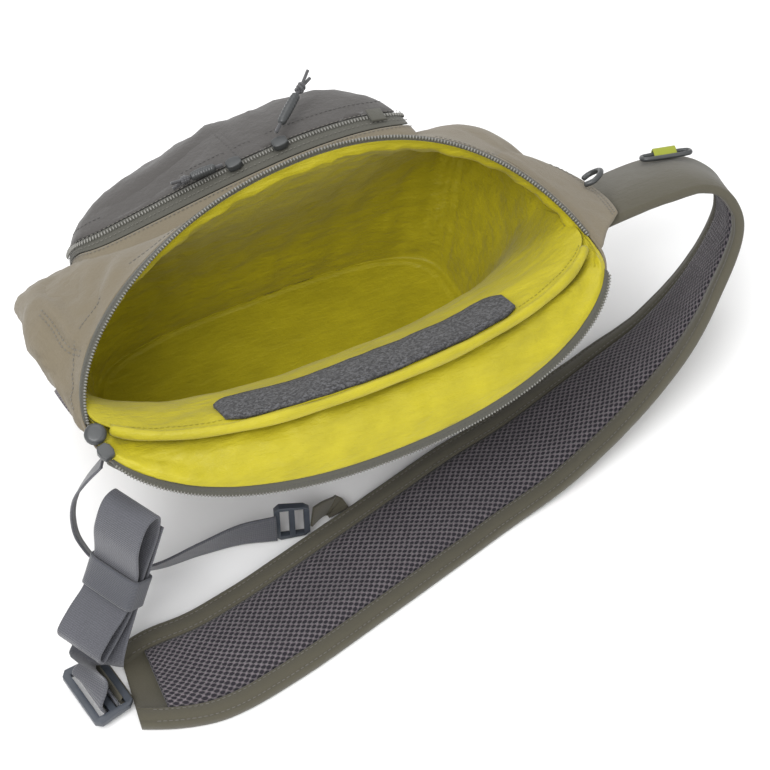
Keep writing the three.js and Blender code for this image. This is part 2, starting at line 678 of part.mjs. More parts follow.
// Frames of a band laid along a route: across points from its inner to its outer edge.
function bandFrames(route, stations) {
  const middle = route.map((r) => vec(r.reach * STRAP_REACH, r.side * STRAP_SIDE, r.rise * BAG_HEIGHT));
  const edge = route.map((r) => {
    const level = Math.cos(r.tilt * RAD);
    const [x, y] = [Math.cos(r.facing * RAD) * level, Math.sin(r.facing * RAD) * level];
    return vec(x, y, Math.sin(r.tilt * RAD));
  });
  const middleCurve = new THREE.CatmullRomCurve3(middle, false, "centripetal");
  const edgeCurve = new THREE.CatmullRomCurve3(edge, false, "centripetal");
  return stations.map((t) => {
    const across = edgeCurve.getPoint(t).normalize();
    const along = middleCurve.getTangent(t);
    const up = across.clone().cross(along).normalize();
    return { at: middleCurve.getPoint(t), across, up, along };
  });
}
const strapStations = shares(0, 1, 48);
const strapFrames = bandFrames(STRAP_ROUTE, strapStations);
const edgeHeight = STRAP_THICKNESS - STRAP_CROWN;
// The strap narrows a little to its rounded free end.
const halfStrap = (t) => (STRAP_WIDTH / 2) * (1 - 0.25 * Math.max(0, 1 - t / 0.06) ** 2);
addSweep("strap_cloth", "strap", strapFrames, (t) => {
  const w = halfStrap(t);
  const inner = w - STRAP_EDGE;
  return [
    [-w + 1, 0], [w - 1, 0], [w, edgeHeight / 2], [w - 1.5, edgeHeight],
    [inner, edgeHeight], [inner, STRAP_CLOTH], [-inner, STRAP_CLOTH], [-inner, edgeHeight],
    [-w + 1.5, edgeHeight], [-w, edgeHeight / 2],
  ];
});
const padStations = strapStations.slice(1, -1);
addSweep("strap_mesh_pad", "mesh", strapFrames.slice(1, -1), (t) => {
  const station = padStations[Math.round(t * (padStations.length - 1))];
  const w = halfStrap(station) - STRAP_EDGE - PAD_CLEARANCE;
  const foot = STRAP_CLOTH + PAD_CLEARANCE;
  return [
    [-w, foot], [w, foot], [w, edgeHeight], [w / 2, STRAP_THICKNESS],
    [-w / 2, STRAP_THICKNESS], [-w, edgeHeight],
  ];
});

// Wing of the bag's end that lies over the strap's root
const WING_ANGLES = [-2, 36]; // degrees round the bag, near edge and far edge
const WING_LEVELS = [6.3, 5.4];
const WING_GAP = 1.7;
const WING_STATION = 0.955; // where its free edge lies along the strap
const [wingFrame] = bandFrames(STRAP_ROUTE, [WING_STATION]);
function wingPoint(across, along) {
  const angle = mix(WING_ANGLES[0], WING_ANGLES[1], across) * RAD;
  const level = mix(WING_LEVELS[0], WING_LEVELS[1], across);
  const gap = WING_GAP + WING_THICKNESS / 2;
  const start = under(angle, level, -gap);
  const end = wingFrame.at
    .clone()
    .addScaledVector(wingFrame.across, mix(STRAP_WIDTH / 2, -STRAP_WIDTH / 4, across))
    .addScaledVector(wingFrame.up, -gap);
  const bulge = under(angle, level - 1.2, -gap - 4);
  const middle = start.clone().lerp(end.lerp(start, 0.45 * across ** 2), 0.5).lerp(bulge, 0.3);
  return new THREE.QuadraticBezierCurve3(start, middle, end).getPoint(along);
}
function wingGrid(side) {
  return shares(0, 1, 6).map((along) =>
    shares(0, 1, 9).map((across) => {
      const run = wingPoint(across, along + 0.01).sub(wingPoint(across, along - 0.01));
      const width = wingPoint(across + 0.01, along).sub(wingPoint(across - 0.01, along));
      const normal = run.cross(width).normalize();
      return wingPoint(across, along).addScaledVector(normal, (side * WING_THICKNESS) / 2);
    }),
  );
}
addSheet("strap_wing", "canvas", wingGrid(1), wingGrid(-1));

// Molded loop on the wing, and the tool ring further along the strap
// Their points are distances along, across and out from a frame on the strap's outer cloth.
const onStrap = (f, along, across, out) =>
  f.at.clone().addScaledVector(f.along, along).addScaledVector(f.across, across).addScaledVector(f.up, -out);
const GEAR_STATION = 0.965;
const [gearFrame] = bandFrames(STRAP_ROUTE, [GEAR_STATION]);
const GEAR_LIFT = WING_GAP + WING_THICKNESS + GEAR_LOOP_RADIUS + 5.5;
const gearPoints = [
  [0.12, -0.05, 3], [-0.1, -0.15, 3.4], [-0.35, -0.05, 4], [-0.55, 0.3, 5],
  [-0.45, 0.7, 5], [-0.15, 0.95, 4.5], [0.15, 0.85, 4.5],
].map(([along, across, out]) =>
  onStrap(gearFrame, along * GEAR_LOOP_REACH, across * GEAR_LOOP_WIDTH, GEAR_LIFT + out),
);
const gearFrames = framesAlong(gearPoints, 18, gearFrame.up);
addSweep("gear_loop", "plastic", gearFrames, () => circle(GEAR_LOOP_RADIUS, 8));

const DOCK_STATION = 0.84;
const DOCK_SIDE = -0.35 * STRAP_WIDTH; // towards the strap's inner edge
const DOCK_LIFT = DOCK_RADIUS + 0.8;
const [dockFrame] = bandFrames(STRAP_ROUTE, [DOCK_STATION]);
const squared = (value) => Math.sign(value) * Math.sqrt(Math.abs(value));
const dockPoints = Array.from({ length: 20 }, (_, i) => {
  const angle = ((i + 0.5) / 20) * 2 * Math.PI;
  const across = DOCK_SIDE + (squared(Math.sin(angle)) * DOCK_WIDTH) / 2;
  return onStrap(dockFrame, (squared(Math.cos(angle)) * DOCK_LENGTH) / 2, across, DOCK_LIFT);
});
const dockFrames = framesThrough(dockPoints, dockFrame.up, true);
addSweep("tool_dock", "plastic", dockFrames, () => circle(DOCK_RADIUS, 6), true);
const farRail = DOCK_SIDE - DOCK_WIDTH / 2;
const dockTabPoints = [[5.2, 1.6], [2.9, 3.6], [0, 5.9], [-2.9, 3.6], [-5.2, 1.6]].map(([away, out]) =>
  onStrap(dockFrame, 0, farRail - away, out),
);
addSweep("dock_tab", "accent", framesAlong(dockTabPoints, 12, dockFrame.along), () => [
  [-DOCK_TAB_WIDTH / 2, -DOCK_TAB_THICKNESS / 2], [DOCK_TAB_WIDTH / 2, -DOCK_TAB_THICKNESS / 2],
  [DOCK_TAB_WIDTH / 2, DOCK_TAB_THICKNESS / 2], [-DOCK_TAB_WIDTH / 2, DOCK_TAB_THICKNESS / 2],
]);

// Main webbing
// It is drawn in a slanting plane: down along its run, and out of the plane towards the front.
const hang = WEBBING_FALL * RAD;
const heading = WEBBING_HEADING * RAD;
const webbingDown = vec(
  Math.cos(heading) * Math.cos(hang), Math.sin(heading) * Math.cos(hang), -Math.sin(hang),
);
const webbingOut = vec(
  Math.cos(heading) * Math.sin(hang), Math.sin(heading) * Math.sin(hang), Math.cos(hang),
);
const webbingAcross = webbingDown.clone().cross(webbingOut).normalize();
const WEBBING_START = vec(-0.46 * BAG_LENGTH, -0.904 * BAG_DEPTH, 0.541 * BAG_HEIGHT);
const onWebbing = (down, out) =>
  WEBBING_START.clone().addScaledVector(webbingDown, down).addScaledVector(webbingOut, out);

const flatSection = (width, thickness) => [
  [-width / 2, -thickness / 2], [width / 2, -thickness / 2],
  [width / 2, thickness / 2], [-width / 2, thickness / 2],
];
// The buckle at the strap's free end, whose middle bar the webbing turns round
const BUCKLE_FACING = -81; // degrees in plan, across the buckle
const BUCKLE_DROOP = 1; // degrees, its strap side down
const BAR_TURN = 3.9; // radius of the webbing round the bar
const buckleBar = vec(-0.622 * BAG_LENGTH, -1.161 * BAG_DEPTH, BAR_TURN + 2.2);
const buckleAcross = vec(Math.cos(BUCKLE_FACING * RAD), Math.sin(BUCKLE_FACING * RAD), 0);
const buckleAlong = vec(-buckleAcross.y, buckleAcross.x, -Math.tan(BUCKLE_DROOP * RAD)).normalize();
const buckleUp = buckleAcross.clone().cross(buckleAlong).normalize();
const onBuckle = (along, up) =>
  buckleBar.clone().addScaledVector(buckleAlong, along).addScaledVector(buckleUp, up);

// Points round a bar of the buckle, at a distance along it; the turn is in degrees.
const roundBar = (along, radius, from, to) =>
  shares(from * RAD, to * RAD, 6).map((turn) =>
    onBuckle(along + radius * Math.cos(turn), radius * Math.sin(turn)),
  );

const webbingSection = flatSection(WEBBING_WIDTH, WEBBING_THICKNESS);
const runCurve = new THREE.CatmullRomCurve3([
  onWebbing(0, 0),
  onWebbing(WEBBING_RUN * 0.25, -0.8),
  onWebbing(WEBBING_RUN * 0.4, -1),
  onWebbing(WEBBING_RUN * 0.56, -0.8),
  onWebbing(WEBBING_RUN * 0.8, 1).lerp(onBuckle(0, 19), 0.5),
  onBuckle(-BAR_TURN - 1.6, 6),
  ...roundBar(0, BAR_TURN, 180, 360),
  onBuckle(BAR_TURN - 1, 5),
], false, "centripetal");
const runFrames = framesTurning(runCurve.getSpacedPoints(38), webbingAcross, buckleAcross, 0.56, 0.84);
addSweep("main_webbing", "webbing", runFrames, () => webbingSection);

// The spare webbing, folded into a loop above its keeper and a loop below it
const KEEPER_AT = WEBBING_RUN * 0.4;
const TAIL_PATH = [
  [-1, 3.2], [-14, 3.4], [-38, 3.2], [-49, 8], [-46, 16], [-30, 17], [-11, 9.2], [0, 8.8],
  [11, 9.2], [24, 17], [36, 21], [41, 16], [33, 11], [14, 4.2], [3.5, 3.2],
];
const tailPoints = TAIL_PATH.map(([down, out]) => onWebbing(KEEPER_AT + down, out));
addSweep("webbing_tail", "webbing", framesAlong(tailPoints, 44, webbingAcross), () => webbingSection);

function keeperRing(down, wall) {
  const w = WEBBING_WIDTH / 2 + 0.6 + wall;
  const low = -3.4 - wall;
  const high = 10.6 + wall;
  const r = 1.5;
  const corners = [
    [-w + r, low], [w - r, low], [w, low + r], [w, high - r], [w - r, high], [-w + r, high],
    [-w, high - r], [-w, low + r],
  ];
  return corners.map(([a, out]) => onWebbing(down, out).addScaledVector(webbingAcross, a));
}
const keeperRows = [KEEPER_AT - KEEPER_LENGTH / 2, KEEPER_AT + KEEPER_LENGTH / 2];
addRingWall(
  "webbing_keeper",
  "trim",
  keeperRows.map((down) => keeperRing(down, KEEPER_WALL)),
  keeperRows.map((down) => keeperRing(down, 0)),
);

// A ladder-lock buckle: a rounded frame with two slots, in the plane of its across and along.
function addBuckle(name, size, middle, across, along) {
  const { length, width, thickness, rail, bar } = size;
  const outline = new THREE.Shape();
  const [w, l] = [width / 2, length / 2];
  outline.moveTo(-w + 3, -l);
  outline.lineTo(w - 3, -l);
  outline.lineTo(w, -l + 3);
  outline.lineTo(w - 1.5, l - 3);
  outline.lineTo(w - 4, l);
  outline.lineTo(-w + 4, l);
  outline.lineTo(-w + 1.5, l - 3);
  outline.lineTo(-w, -l + 3);
  outline.closePath();
  for (const side of [-1, 1]) {
    const [near, far] = [side * (bar / 2), side * (l - bar)];
    const slot = new THREE.Path();
    slot.moveTo(-w + rail, near);
    slot.lineTo(w - rail, near);
    slot.lineTo(w - rail, far);
    slot.lineTo(-w + rail, far);
    slot.closePath();
    outline.holes.push(slot);
  }
  addPlate(name, "plastic", outline, thickness, middle, across, along);
}
const strapBuckle = {
  length: BUCKLE_LENGTH, width: BUCKLE_WIDTH, thickness: BUCKLE_THICKNESS, rail: 4.4, bar: 4,
};
addBuckle("strap_buckle", strapBuckle, buckleBar, buckleAcross, buckleAlong);

// Tab that joins the strap's free end to the buckle's last bar
const lastBar = BUCKLE_LENGTH / 2 - strapBuckle.bar / 2;
const tabTurn = 3.9;
const strapEnd = strapFrames[0];
const tabReach = strapEnd.at.clone().sub(buckleBar).dot(buckleAlong) - 1.6;
const tabPoints = [
  ...roundBar(lastBar, tabTurn, 130, 270),
  onBuckle(tabReach, edgeHeight / 2 - buckleBar.z),
];
const tabCurve = new THREE.CatmullRomCurve3(tabPoints, false, "centripetal");
const tabFrames = framesTurning(tabCurve.getSpacedPoints(18), buckleAcross, strapEnd.across, 0.7, 1);
addSweep("strap_end_tab", "strap", tabFrames, () => flatSection(WEBBING_WIDTH - 4, TAB_THICKNESS));

// Side webbing, from the bag's corner round to a small buckle at the strap's inner edge
const SIDE_ROUTE = [
  [-0.568, -0.4, 0.64, -112, 36],
  [-0.605, -0.39, 0.56, -112, 42],
  [-0.632, -0.38, 0.47, -112, 48],
  [-0.645, -0.38, 0.37, -112, 50],
  [-0.642, -0.39, 0.26, -112, 52],
  [-0.605, -0.42, 0.14, -112, 56],
  [-0.515, -0.44, 0.078, -112, 62],
  [-0.4, -0.44, 0.07, -112, 74],
  [-0.31, -0.445, 0.072, -112, 88],
  [-0.232, -0.468, 0.078, -112, 98],
].map((row) => Object.fromEntries(STRAP_COLUMNS.map((column, i) => [column, row[i]])));
const sideFrames = bandFrames(SIDE_ROUTE, shares(0, 1, 30));
const sideSection = flatSection(SIDE_WEBBING_WIDTH, SIDE_WEBBING_THICKNESS);
addSweep("side_webbing", "webbing", sideFrames, () => sideSection);
const sideEnd = sideFrames.at(-1);
const sideBuckle = {
  length: SIDE_BUCKLE_LENGTH, width: SIDE_BUCKLE_WIDTH, thickness: SIDE_BUCKLE_THICKNESS, rail: 2.8, bar: 3.2,
};
const sideMiddle = sideEnd.at.clone().addScaledVector(sideEnd.along, SIDE_BUCKLE_LENGTH / 2 + CLEARANCE);
sideMiddle.z = SIDE_BUCKLE_WIDTH / 2 + 0.4;
sideMiddle.y += SIDE_BUCKLE_BACK;
addBuckle("side_buckle", sideBuckle, sideMiddle, sideEnd.across, sideEnd.along);

// Tab that turns from the side buckle down to the strap's inner edge
const SIDE_TAB_STATION = 0.2;
const [seam] = bandFrames(STRAP_ROUTE, [SIDE_TAB_STATION]);
const seamAt = seam.at
  .clone()
  .addScaledVector(seam.across, -STRAP_WIDTH / 2 - 0.9)
  .addScaledVector(seam.up, edgeHeight / 2);
const tabStart = sideMiddle.clone().addScaledVector(sideEnd.along, SIDE_BUCKLE_LENGTH / 2 + 1.8);
const sideTabPoints = [
  tabStart,
  tabStart.clone().lerp(seamAt, 0.4).add(vec(0, 3, 1)),
  seamAt.clone().addScaledVector(seam.across, -5).add(vec(0, 0, 1.5)),
  seamAt,
];
const sideTabCurve = new THREE.CatmullRomCurve3(sideTabPoints, false, "centripetal");
const seamAlong = seam.along.clone();
const sideTabFrames = framesTurning(sideTabCurve.getSpacedPoints(12), sideEnd.across, seamAlong, 0, 1);
addSweep("side_buckle_tab", "strap", sideTabFrames, () => flatSection(SIDE_TAB_WIDTH, TAB_THICKNESS));

export default bag;
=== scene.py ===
"""Fishing tackle sling bag: the looks of its pieces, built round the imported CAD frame.

Lengths in the tables and in the functions are millimetres, in the frame of the CAD model.
Meshes are made in metres. Points that were read off the photograph are pixels of its 770 by 770
frame, and are cast from the camera onto the piece that carries them.
"""

import math

import bmesh
import bpy
import numpy as np
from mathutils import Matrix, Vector, noise
from mathutils.bvhtree import BVHTree


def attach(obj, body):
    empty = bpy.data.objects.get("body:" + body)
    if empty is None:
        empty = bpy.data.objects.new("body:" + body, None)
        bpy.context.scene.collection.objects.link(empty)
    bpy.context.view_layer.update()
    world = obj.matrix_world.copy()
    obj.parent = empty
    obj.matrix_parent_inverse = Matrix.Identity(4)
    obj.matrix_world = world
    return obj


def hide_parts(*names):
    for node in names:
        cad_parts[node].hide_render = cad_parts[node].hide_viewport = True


bl_info = {
    "name": "Fishing Tackle Sling Bag",
    "version": (1, 0, 0),
    "blender": (4, 5, 0),
    "location": "View3D > Sidebar > Sling Bag",
    "description": "Builds the cloth, zips, webbing and fittings of an open sling bag",
    "category": "Object",
}

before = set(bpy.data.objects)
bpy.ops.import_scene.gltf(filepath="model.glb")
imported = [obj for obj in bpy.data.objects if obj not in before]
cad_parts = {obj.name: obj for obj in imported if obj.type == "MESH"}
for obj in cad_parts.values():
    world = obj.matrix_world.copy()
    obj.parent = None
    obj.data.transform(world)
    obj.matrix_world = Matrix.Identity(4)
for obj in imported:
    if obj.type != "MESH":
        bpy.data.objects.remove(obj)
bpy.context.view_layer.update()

MM = 0.001
JOINED = 0.02 * MM
TAU = 2 * math.pi
UP = Vector((0, 0, 1))

# Sizes of the body, as in the CAD model
BAG_LENGTH = 302
BAG_HEIGHT = 170
BAG_DEPTH = 146
SHELL_WALL = 1.5
LINING_WALL = 1.2
CLEARANCE = 0.35
RIM_TWIST = 20
LINING_OUT = SHELL_WALL + CLEARANCE
LINING_IN = LINING_OUT + LINING_WALL

# Slip pocket and zips
HEM_RADIUS = 3.2
POCKET_SLACK = 9
SLIP_WALL = 1.2
LOOP_STRIP_WALL = 1.4
ZIP_WIDTH = 5.5
ZIP_CLEARANCE = 0.55

# Front pocket
POCKET_LENGTH = 196
POCKET_OFFSET = -8
POCKET_REACH = 86
POCKET_BOW = 10
POCKET_LEAST = 20
POCKET_WALL = 1.6
GUSSET_SHARE = 0.16
BAND_SHARE = 0.18
POCKET_AXIS = Vector((0, 0.99, -0.12)).normalized()

# Strap
STRAP_REACH = 0.861 * BAG_LENGTH
STRAP_SIDE = 1.781 * BAG_DEPTH
STRAP_WIDTH = 70
STRAP_CLOTH = 2
STRAP_EDGE = 12
EDGE_HEIGHT = 5.9

# Webbing
WEBBING_WIDTH = 30
WEBBING_THICKNESS = 1.5
WEBBING_RUN = 100
KEEPER_AT = 0.4 * WEBBING_RUN
BAR_TURN = 3.9

# Camera at the photograph's angle
CAMERA_AT = Vector((-306.8, -755.3, 1011))
CAMERA_AIM = Vector((44.4, -47.7, 0))
LENS = 100
SENSOR = 36
PHOTO = 770


def srgb(red, green, blue):
    """A linear colour from three screen values."""

    def linear(c):
        c /= 255
        return ((c + 0.055) / 1.055) ** 2.4 if c > 0.04045 else c / 12.92

    return (linear(red), linear(green), linear(blue), 1.0)


# Body surface

# reach: half length; end: where the two ends lie; front and back: the middle of each long side.
# corner: how far the two front corners stand out. Lengths are shares of half BAG_LENGTH (reach),
# BAG_DEPTH (in, out) and BAG_HEIGHT (up).
RING_COLUMNS = (
    "reach", "end_in", "end_up", "front_out", "front_up", "back_out", "back_up", "square", "corner",
)
RINGS = [
    dict(zip(RING_COLUMNS, row))
    for row in (
        (0.72, 0.0, 0.0, 0.29, 0.0, -0.27, 0.0, 3.2, 0),
        (0.8, 0.0, 0.03, 0.34, 0.03, -0.34, 0.03, 3.2, 0),
        (0.89, -0.01, 0.25, 0.36, 0.25, -0.41, 0.25, 3.0, 0.04),
        (0.985, -0.04, 0.49, 0.27, 0.49, -0.56, 0.49, 2.6, 0.16),
        (1.02, -0.27, 0.65, 0.12, 0.72, -0.76, 0.635, 2.35, 0.2),
        (1.012, -0.51, 0.7, 0.04, 0.86, -0.94, 0.7, 2.25, 0.12),
        (1.005, -0.625, 0.722, 0.0, 0.935, -1.01, 0.65, 2.2, 0.05),
        (1.0, -0.685, 0.735, -0.035, 0.995, -1.075, 0.58, 2.2, 0),
    )
]
LAST = len(RINGS) - 1
CREST = 5
ROUND = 44
HALF_ROUND = ROUND // 2


def ring_point(ring, angle):
    """A point of one ring of the body, at an angle round the bag."""
    c = math.cos(angle)
    s = math.sin(angle)
    k = (abs(c) ** ring["square"] + abs(s) ** ring["square"]) ** (-1 / ring["square"])
    side = k * abs(s)
    out = ring["front_out"] if s > 0 else ring["back_out"]
    up = ring["front_up"] if s > 0 else ring["back_up"]
    twist = 0
    corner = 0
    if s > 0:
        twist = (RIM_TWIST / BAG_HEIGHT) * k * c * side**2 * ring["front_up"] ** 2
        corner = 4 * ring["corner"] * side * (1 - min(1, side))
    return Vector(
        (
            ring["reach"] * k * c * BAG_LENGTH / 2,
            (ring["end_in"] + (out - ring["end_in"]) * side + corner) * BAG_DEPTH,
            (ring["end_up"] + (up - ring["end_up"]) * side**2 + twist) * BAG_HEIGHT,
        )
    )


def surface(angle, level):
    """A point of the outer surface: angle 0 at the shoulder end, level 0 at the base."""
    j = min(int(math.floor(level)), LAST - 1)
    t = level - j
    a, b, c, d = (ring_point(RINGS[max(0, min(LAST, n))], angle) for n in (j - 1, j, j + 1, j + 2))
    return 0.5 * (
        2 * b + (c - a) * t + (2 * a - 5 * b + 4 * c - d) * t**2 + (3 * b - a - 3 * c + d) * t**3
    )


def outward(angle, level):
    """The direction that the outer surface faces."""
    low = max(0.02, level - 0.05)
    high = min(LAST, low + 0.1)
    up = surface(angle, high) - surface(angle, low)
    around = surface(angle + 0.03, level) - surface(angle - 0.03, level)
    return around.cross(up).normalized()


def under(angle, level, depth):
    """A point at a depth under the outer surface."""
    return surface(angle, level) - outward(angle, level) * depth


def column_angle(column):
    """The angle of one of the CAD body's columns."""
    return column / ROUND * TAU


def mix(a, b, t):
    """A value part of the way from a to b."""
    return a + (b - a) * t


def shares(start, end, count):
    """Evenly spaced values, both ends among them."""
    return [mix(start, end, i / (count - 1)) for i in range(count)]


def smooth(value, low, high):
    """0 below low and 1 above high, with a smooth rise between."""
    t = max(0.0, min(1.0, (value - low) / (high - low)))
    return t * t * (3 - 2 * t)


def rumple(point, size, seed=0.0):
    """Even, soft noise from -1 to 1 over lengths of about the given size."""
    return noise.fractal(point / size + Vector((seed, 3.1 * seed, 7.7)), 1.0, 2.0, 3)


# Paths, frames and solids


def knots_curve(points, closed=False):
    """A function for a smooth curve through points, from 0 at the first to 1 at the last."""
    count = len(points)
    spans = count if closed else count - 1

    def at(n):
        if closed:
            return points[n % count]
        if n < 0:
            return 2 * points[0] - points[1]
        if n >= count:
            return 2 * points[-1] - points[-2]
        return points[n]

    def point(t):
        place = (t % 1.0 if closed else max(0.0, min(1.0, t))) * spans
        j = min(int(place), spans - 1)
        w = place - j
        p = [at(j + n) for n in (-1, 0, 1, 2)]
        step = [max(1e-4, (p[n + 1] - p[n]).length_squared ** 0.25) for n in range(3)]
        ahead = (p[2] - p[1]) / step[1]
        first = (p[1] - p[0]) / step[0] - (p[2] - p[0]) / (step[0] + step[1]) + ahead
        second = ahead - (p[3] - p[1]) / (step[1] + step[2]) + (p[3] - p[2]) / step[2]
        first = first * step[1]
        second = second * step[1]
        return (
            p[1]
            + first * w
            + (-3 * p[1] + 3 * p[2] - 2 * first - second) * w**2
            + (2 * p[1] - 2 * p[2] + first + second) * w**3
        )

    return point


def spaced(points, count):
    """Points evenly spaced along the smooth curve through the given points."""
    curve = knots_curve(points)
    fine = [curve(t) for t in shares(0, 1, 400)]
    lengths = np.concatenate([[0], np.cumsum([(b - a).length for a, b in zip(fine, fine[1:])])])
    places = np.interp(np.linspace(0, lengths[-1], count), lengths, np.linspace(0, 1, 400))
    return [curve(t) for t in places]


def frames_turning(points, first=UP, second=UP, start=0.0, end=1.0):
    """Frames (at, across, up, along) whose sideways direction turns from first to second."""
    frames = []
    count = len(points)
    for i, at in enumerate(points):
        along = (points[min(count - 1, i + 1)] - points[max(0, i - 1)]).normalized()
        turn = max(0, min(1, (i / (count - 1) - start) / (end - start)))
        up = first.lerp(second, turn).cross(along).normalized()
        frames.append((at, along.cross(up).normalized(), up, along))
    return frames


def placed(name, data):
    """An object in the scene that carries the given data."""
    made = bpy.data.objects.new(name, data)
    bpy.context.scene.collection.objects.link(made)
    return made


def solid(name, points, faces, uvs):
    """An object from points in millimetres, its faces turned outwards."""
    co = np.array([tuple(p) for p in points], float)
    volume = 0.0
    for face in faces:
        a = points[face[0]]
        for n in range(1, len(face) - 1):
            volume += a.dot(points[face[n]].cross(points[face[n + 1]]))
    if volume < 0:
        faces = [tuple(reversed(face)) for face in faces]
        uvs = [tuple(reversed(face)) for face in uvs]
    mesh = bpy.data.meshes.new(name)
    mesh.from_pydata((co * MM).tolist(), [], faces)
    layer = mesh.uv_layers.new(name="UVMap")
    flat = [c for face in uvs for uv in face for c in uv]
    layer.data.foreach_set("uv", np.array(flat, np.float32))
    mesh.validate()
    mesh.update()
    return placed(name, mesh)


def lengths_along(rows):
    """Mean distances along the rows and down the columns of a grid, in millimetres."""
    grid = np.array([[tuple(p) for p in row] for row in rows])
    closed = np.concatenate([grid, grid[:, :1]], axis=1)
    across = np.linalg.norm(np.diff(closed, axis=1), axis=2).mean(0)
    down = np.linalg.norm(np.diff(grid, axis=0), axis=2).mean(1)
    return np.concatenate([[0], np.cumsum(across)]), np.concatenate([[0], np.cumsum(down)])


def grid_faces(rows, columns, start, closed, flip, u, v):
    """Faces of a grid and their places in the UV map."""
    faces = []
    uvs = []
    for j in range(rows - 1):
        for i in range(columns if closed else columns - 1):
            k = (i + 1) % columns
            face = [start + j * columns + i, start + j * columns + k]
            face += [start + (j + 1) * columns + k, start + (j + 1) * columns + i]
            place = [(u[i], v[j]), (u[i + 1], v[j]), (u[i + 1], v[j + 1]), (u[i], v[j + 1])]
            faces.append(tuple(reversed(face)) if flip else tuple(face))
            uvs.append(tuple(reversed(place)) if flip else tuple(place))
    return faces, uvs


def wall(name, outer, inner, closed=False, base=False):
    """A cloth wall between two equal grids; base closes both at their first row."""
    rows = len(outer)
    columns = len(outer[0])
    half = rows * columns
    u, v = lengths_along(outer)
    faces, uvs = grid_faces(rows, columns, 0, closed, False, u, v)
    more, more_uvs = grid_faces(rows, columns, half, closed, True, u, v)
    faces += more
    uvs += more_uvs
    points = [p for row in outer for p in row] + [p for row in inner for p in row]

    def rim(a, b):
        faces.append((b, a, half + a, half + b))
        uvs.append(((0, 0), (1, 0), (1, 1), (0, 1)))

    last = (rows - 1) * columns
    if closed:
        for i in range(columns):
            k = (i + 1) % columns
            rim(last + k, last + i)
            if not base:
                rim(i, k)
    else:
        edge = list(range(columns)) + [j * columns + columns - 1 for j in range(1, rows)]
        edge += [last + i for i in range(columns - 2, -1, -1)]
        edge += [j * columns for j in range(rows - 2, 0, -1)]
        for n, a in enumerate(edge):
            rim(a, edge[(n + 1) % len(edge)])
    if base:
        for start, row, order in ((0, outer[0], 1), (half, inner[0], 0)):
            middle = sum(row, Vector()) / columns
            points.append(middle)
            top = len(points) - 1
            for i in range(columns):
                k = (i + 1) % columns
                face = (top, start + k, start + i) if order else (top, start + i, start + k)
                faces.append(face)
                uvs.append(((0, 0), (1, 0), (1, 1)))
    return solid(name, points, faces, uvs)


def sweep(name, frames, section_at, floor=0.0):
    """A section carried along frames; what would dip under the floor lies on it."""
    rows = []
    for i, (at, across, up, _along) in enumerate(frames):
        row = []
        for a, u in section_at(i / (len(frames) - 1)):
            point = at + across * a + up * u
            point.z = max(point.z, floor)
            row.append(point)
        rows.append(row)
    columns = len(rows[0])
    u, v = lengths_along(rows)
    faces, uvs = grid_faces(len(rows), columns, 0, True, False, u, v)
    last = (len(rows) - 1) * columns
    faces += [tuple(range(columns - 1, -1, -1)), tuple(range(last, last + columns))]
    uvs += [tuple((0, 0) for _ in range(columns))] * 2
    return solid(name, [p for row in rows for p in row], faces, uvs)


def circle(radius, sides, flat=1.0):
    """A round section."""
    return [
        (radius * math.cos(TAU * i / sides), flat * radius * math.sin(TAU * i / sides))
        for i in range(sides)
    ]


def band_section(width, thickness, edge=0.35):
    """A flat woven band with soft edges."""
    w, h = width / 2, thickness / 2
    e = thickness * edge
    top = [(w, 0), (w - e * 0.4, h * 0.8), (w - 2 * e, h), (w - 4 * e, h * 0.86)]
    top += [(x * w, h * 0.86) for x in (0.6, 0.2, -0.2, -0.6)]
    top += [(-x, y) for x, y in reversed(top[1:4])] + [(-w, 0)]
    return top + [(x, -y) for x, y in reversed(top[1:-1])]


def settle(piece, steps=()):
    """Turns an object's modifiers into plain mesh."""
    for kind, values in steps:
        modifier = piece.modifiers.new(kind.title(), kind)
        for key, value in values.items():
            setattr(modifier, key, value)
    if piece.modifiers:
        graph = bpy.context.evaluated_depsgraph_get()
        made = bpy.data.meshes.new_from_object(piece.evaluated_get(graph))
        made.name = piece.name
        piece.modifiers.clear()
        piece.data = made
    return piece


def subdivided(levels):
    """The step that rounds a mesh by subdivision."""
    return ("SUBSURF", {"levels": levels, "render_levels": levels})


def dress(piece, finish, slot, *nodes, sharp=None):
    """Gives a piece its finish, and puts it in the place of its CAD nodes."""
    piece.data.materials.clear()
    piece.data.materials.append(finish)
    piece.data.polygons.foreach_set("use_smooth", [True] * len(piece.data.polygons))
    if sharp is not None:
        piece.data.set_sharp_from_angle(angle=math.radians(sharp))
    piece.data.update()
    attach(piece, "root")
    if nodes:
        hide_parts(*nodes)
    return piece


def refined(node, finish, slot, bevel=0.0, levels=0, sharp=30):
    """A smoother copy of a CAD node, with rounded edges."""
    piece = placed(node + "_look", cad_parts[node].data.copy())
    work = bmesh.new()
    work.from_mesh(piece.data)
    bmesh.ops.remove_doubles(work, verts=work.verts, dist=JOINED)
    flat = math.radians(1)
    bmesh.ops.dissolve_limit(work, angle_limit=flat, verts=work.verts, edges=work.edges)
    if levels:
        bmesh.ops.triangulate(work, faces=work.faces)
        bmesh.ops.join_triangles(
            work, faces=work.faces, cmp_seam=False, cmp_sharp=False, cmp_uvs=False,
            cmp_vcols=False, cmp_materials=False,
            angle_face_threshold=0.7, angle_shape_threshold=0.9,
        )
    work.to_mesh(piece.data)
    work.free()
    steps = []
    if bevel:
        bevels = {"width": bevel * MM, "segments": 3, "limit_method": "ANGLE", "angle_limit": 0.6}
        steps.append(("BEVEL", bevels))
    if levels:
        steps.append(subdivided(levels))
    settle(piece, steps)
    return dress(piece, finish, slot, node, sharp=sharp)


# Rays from the camera


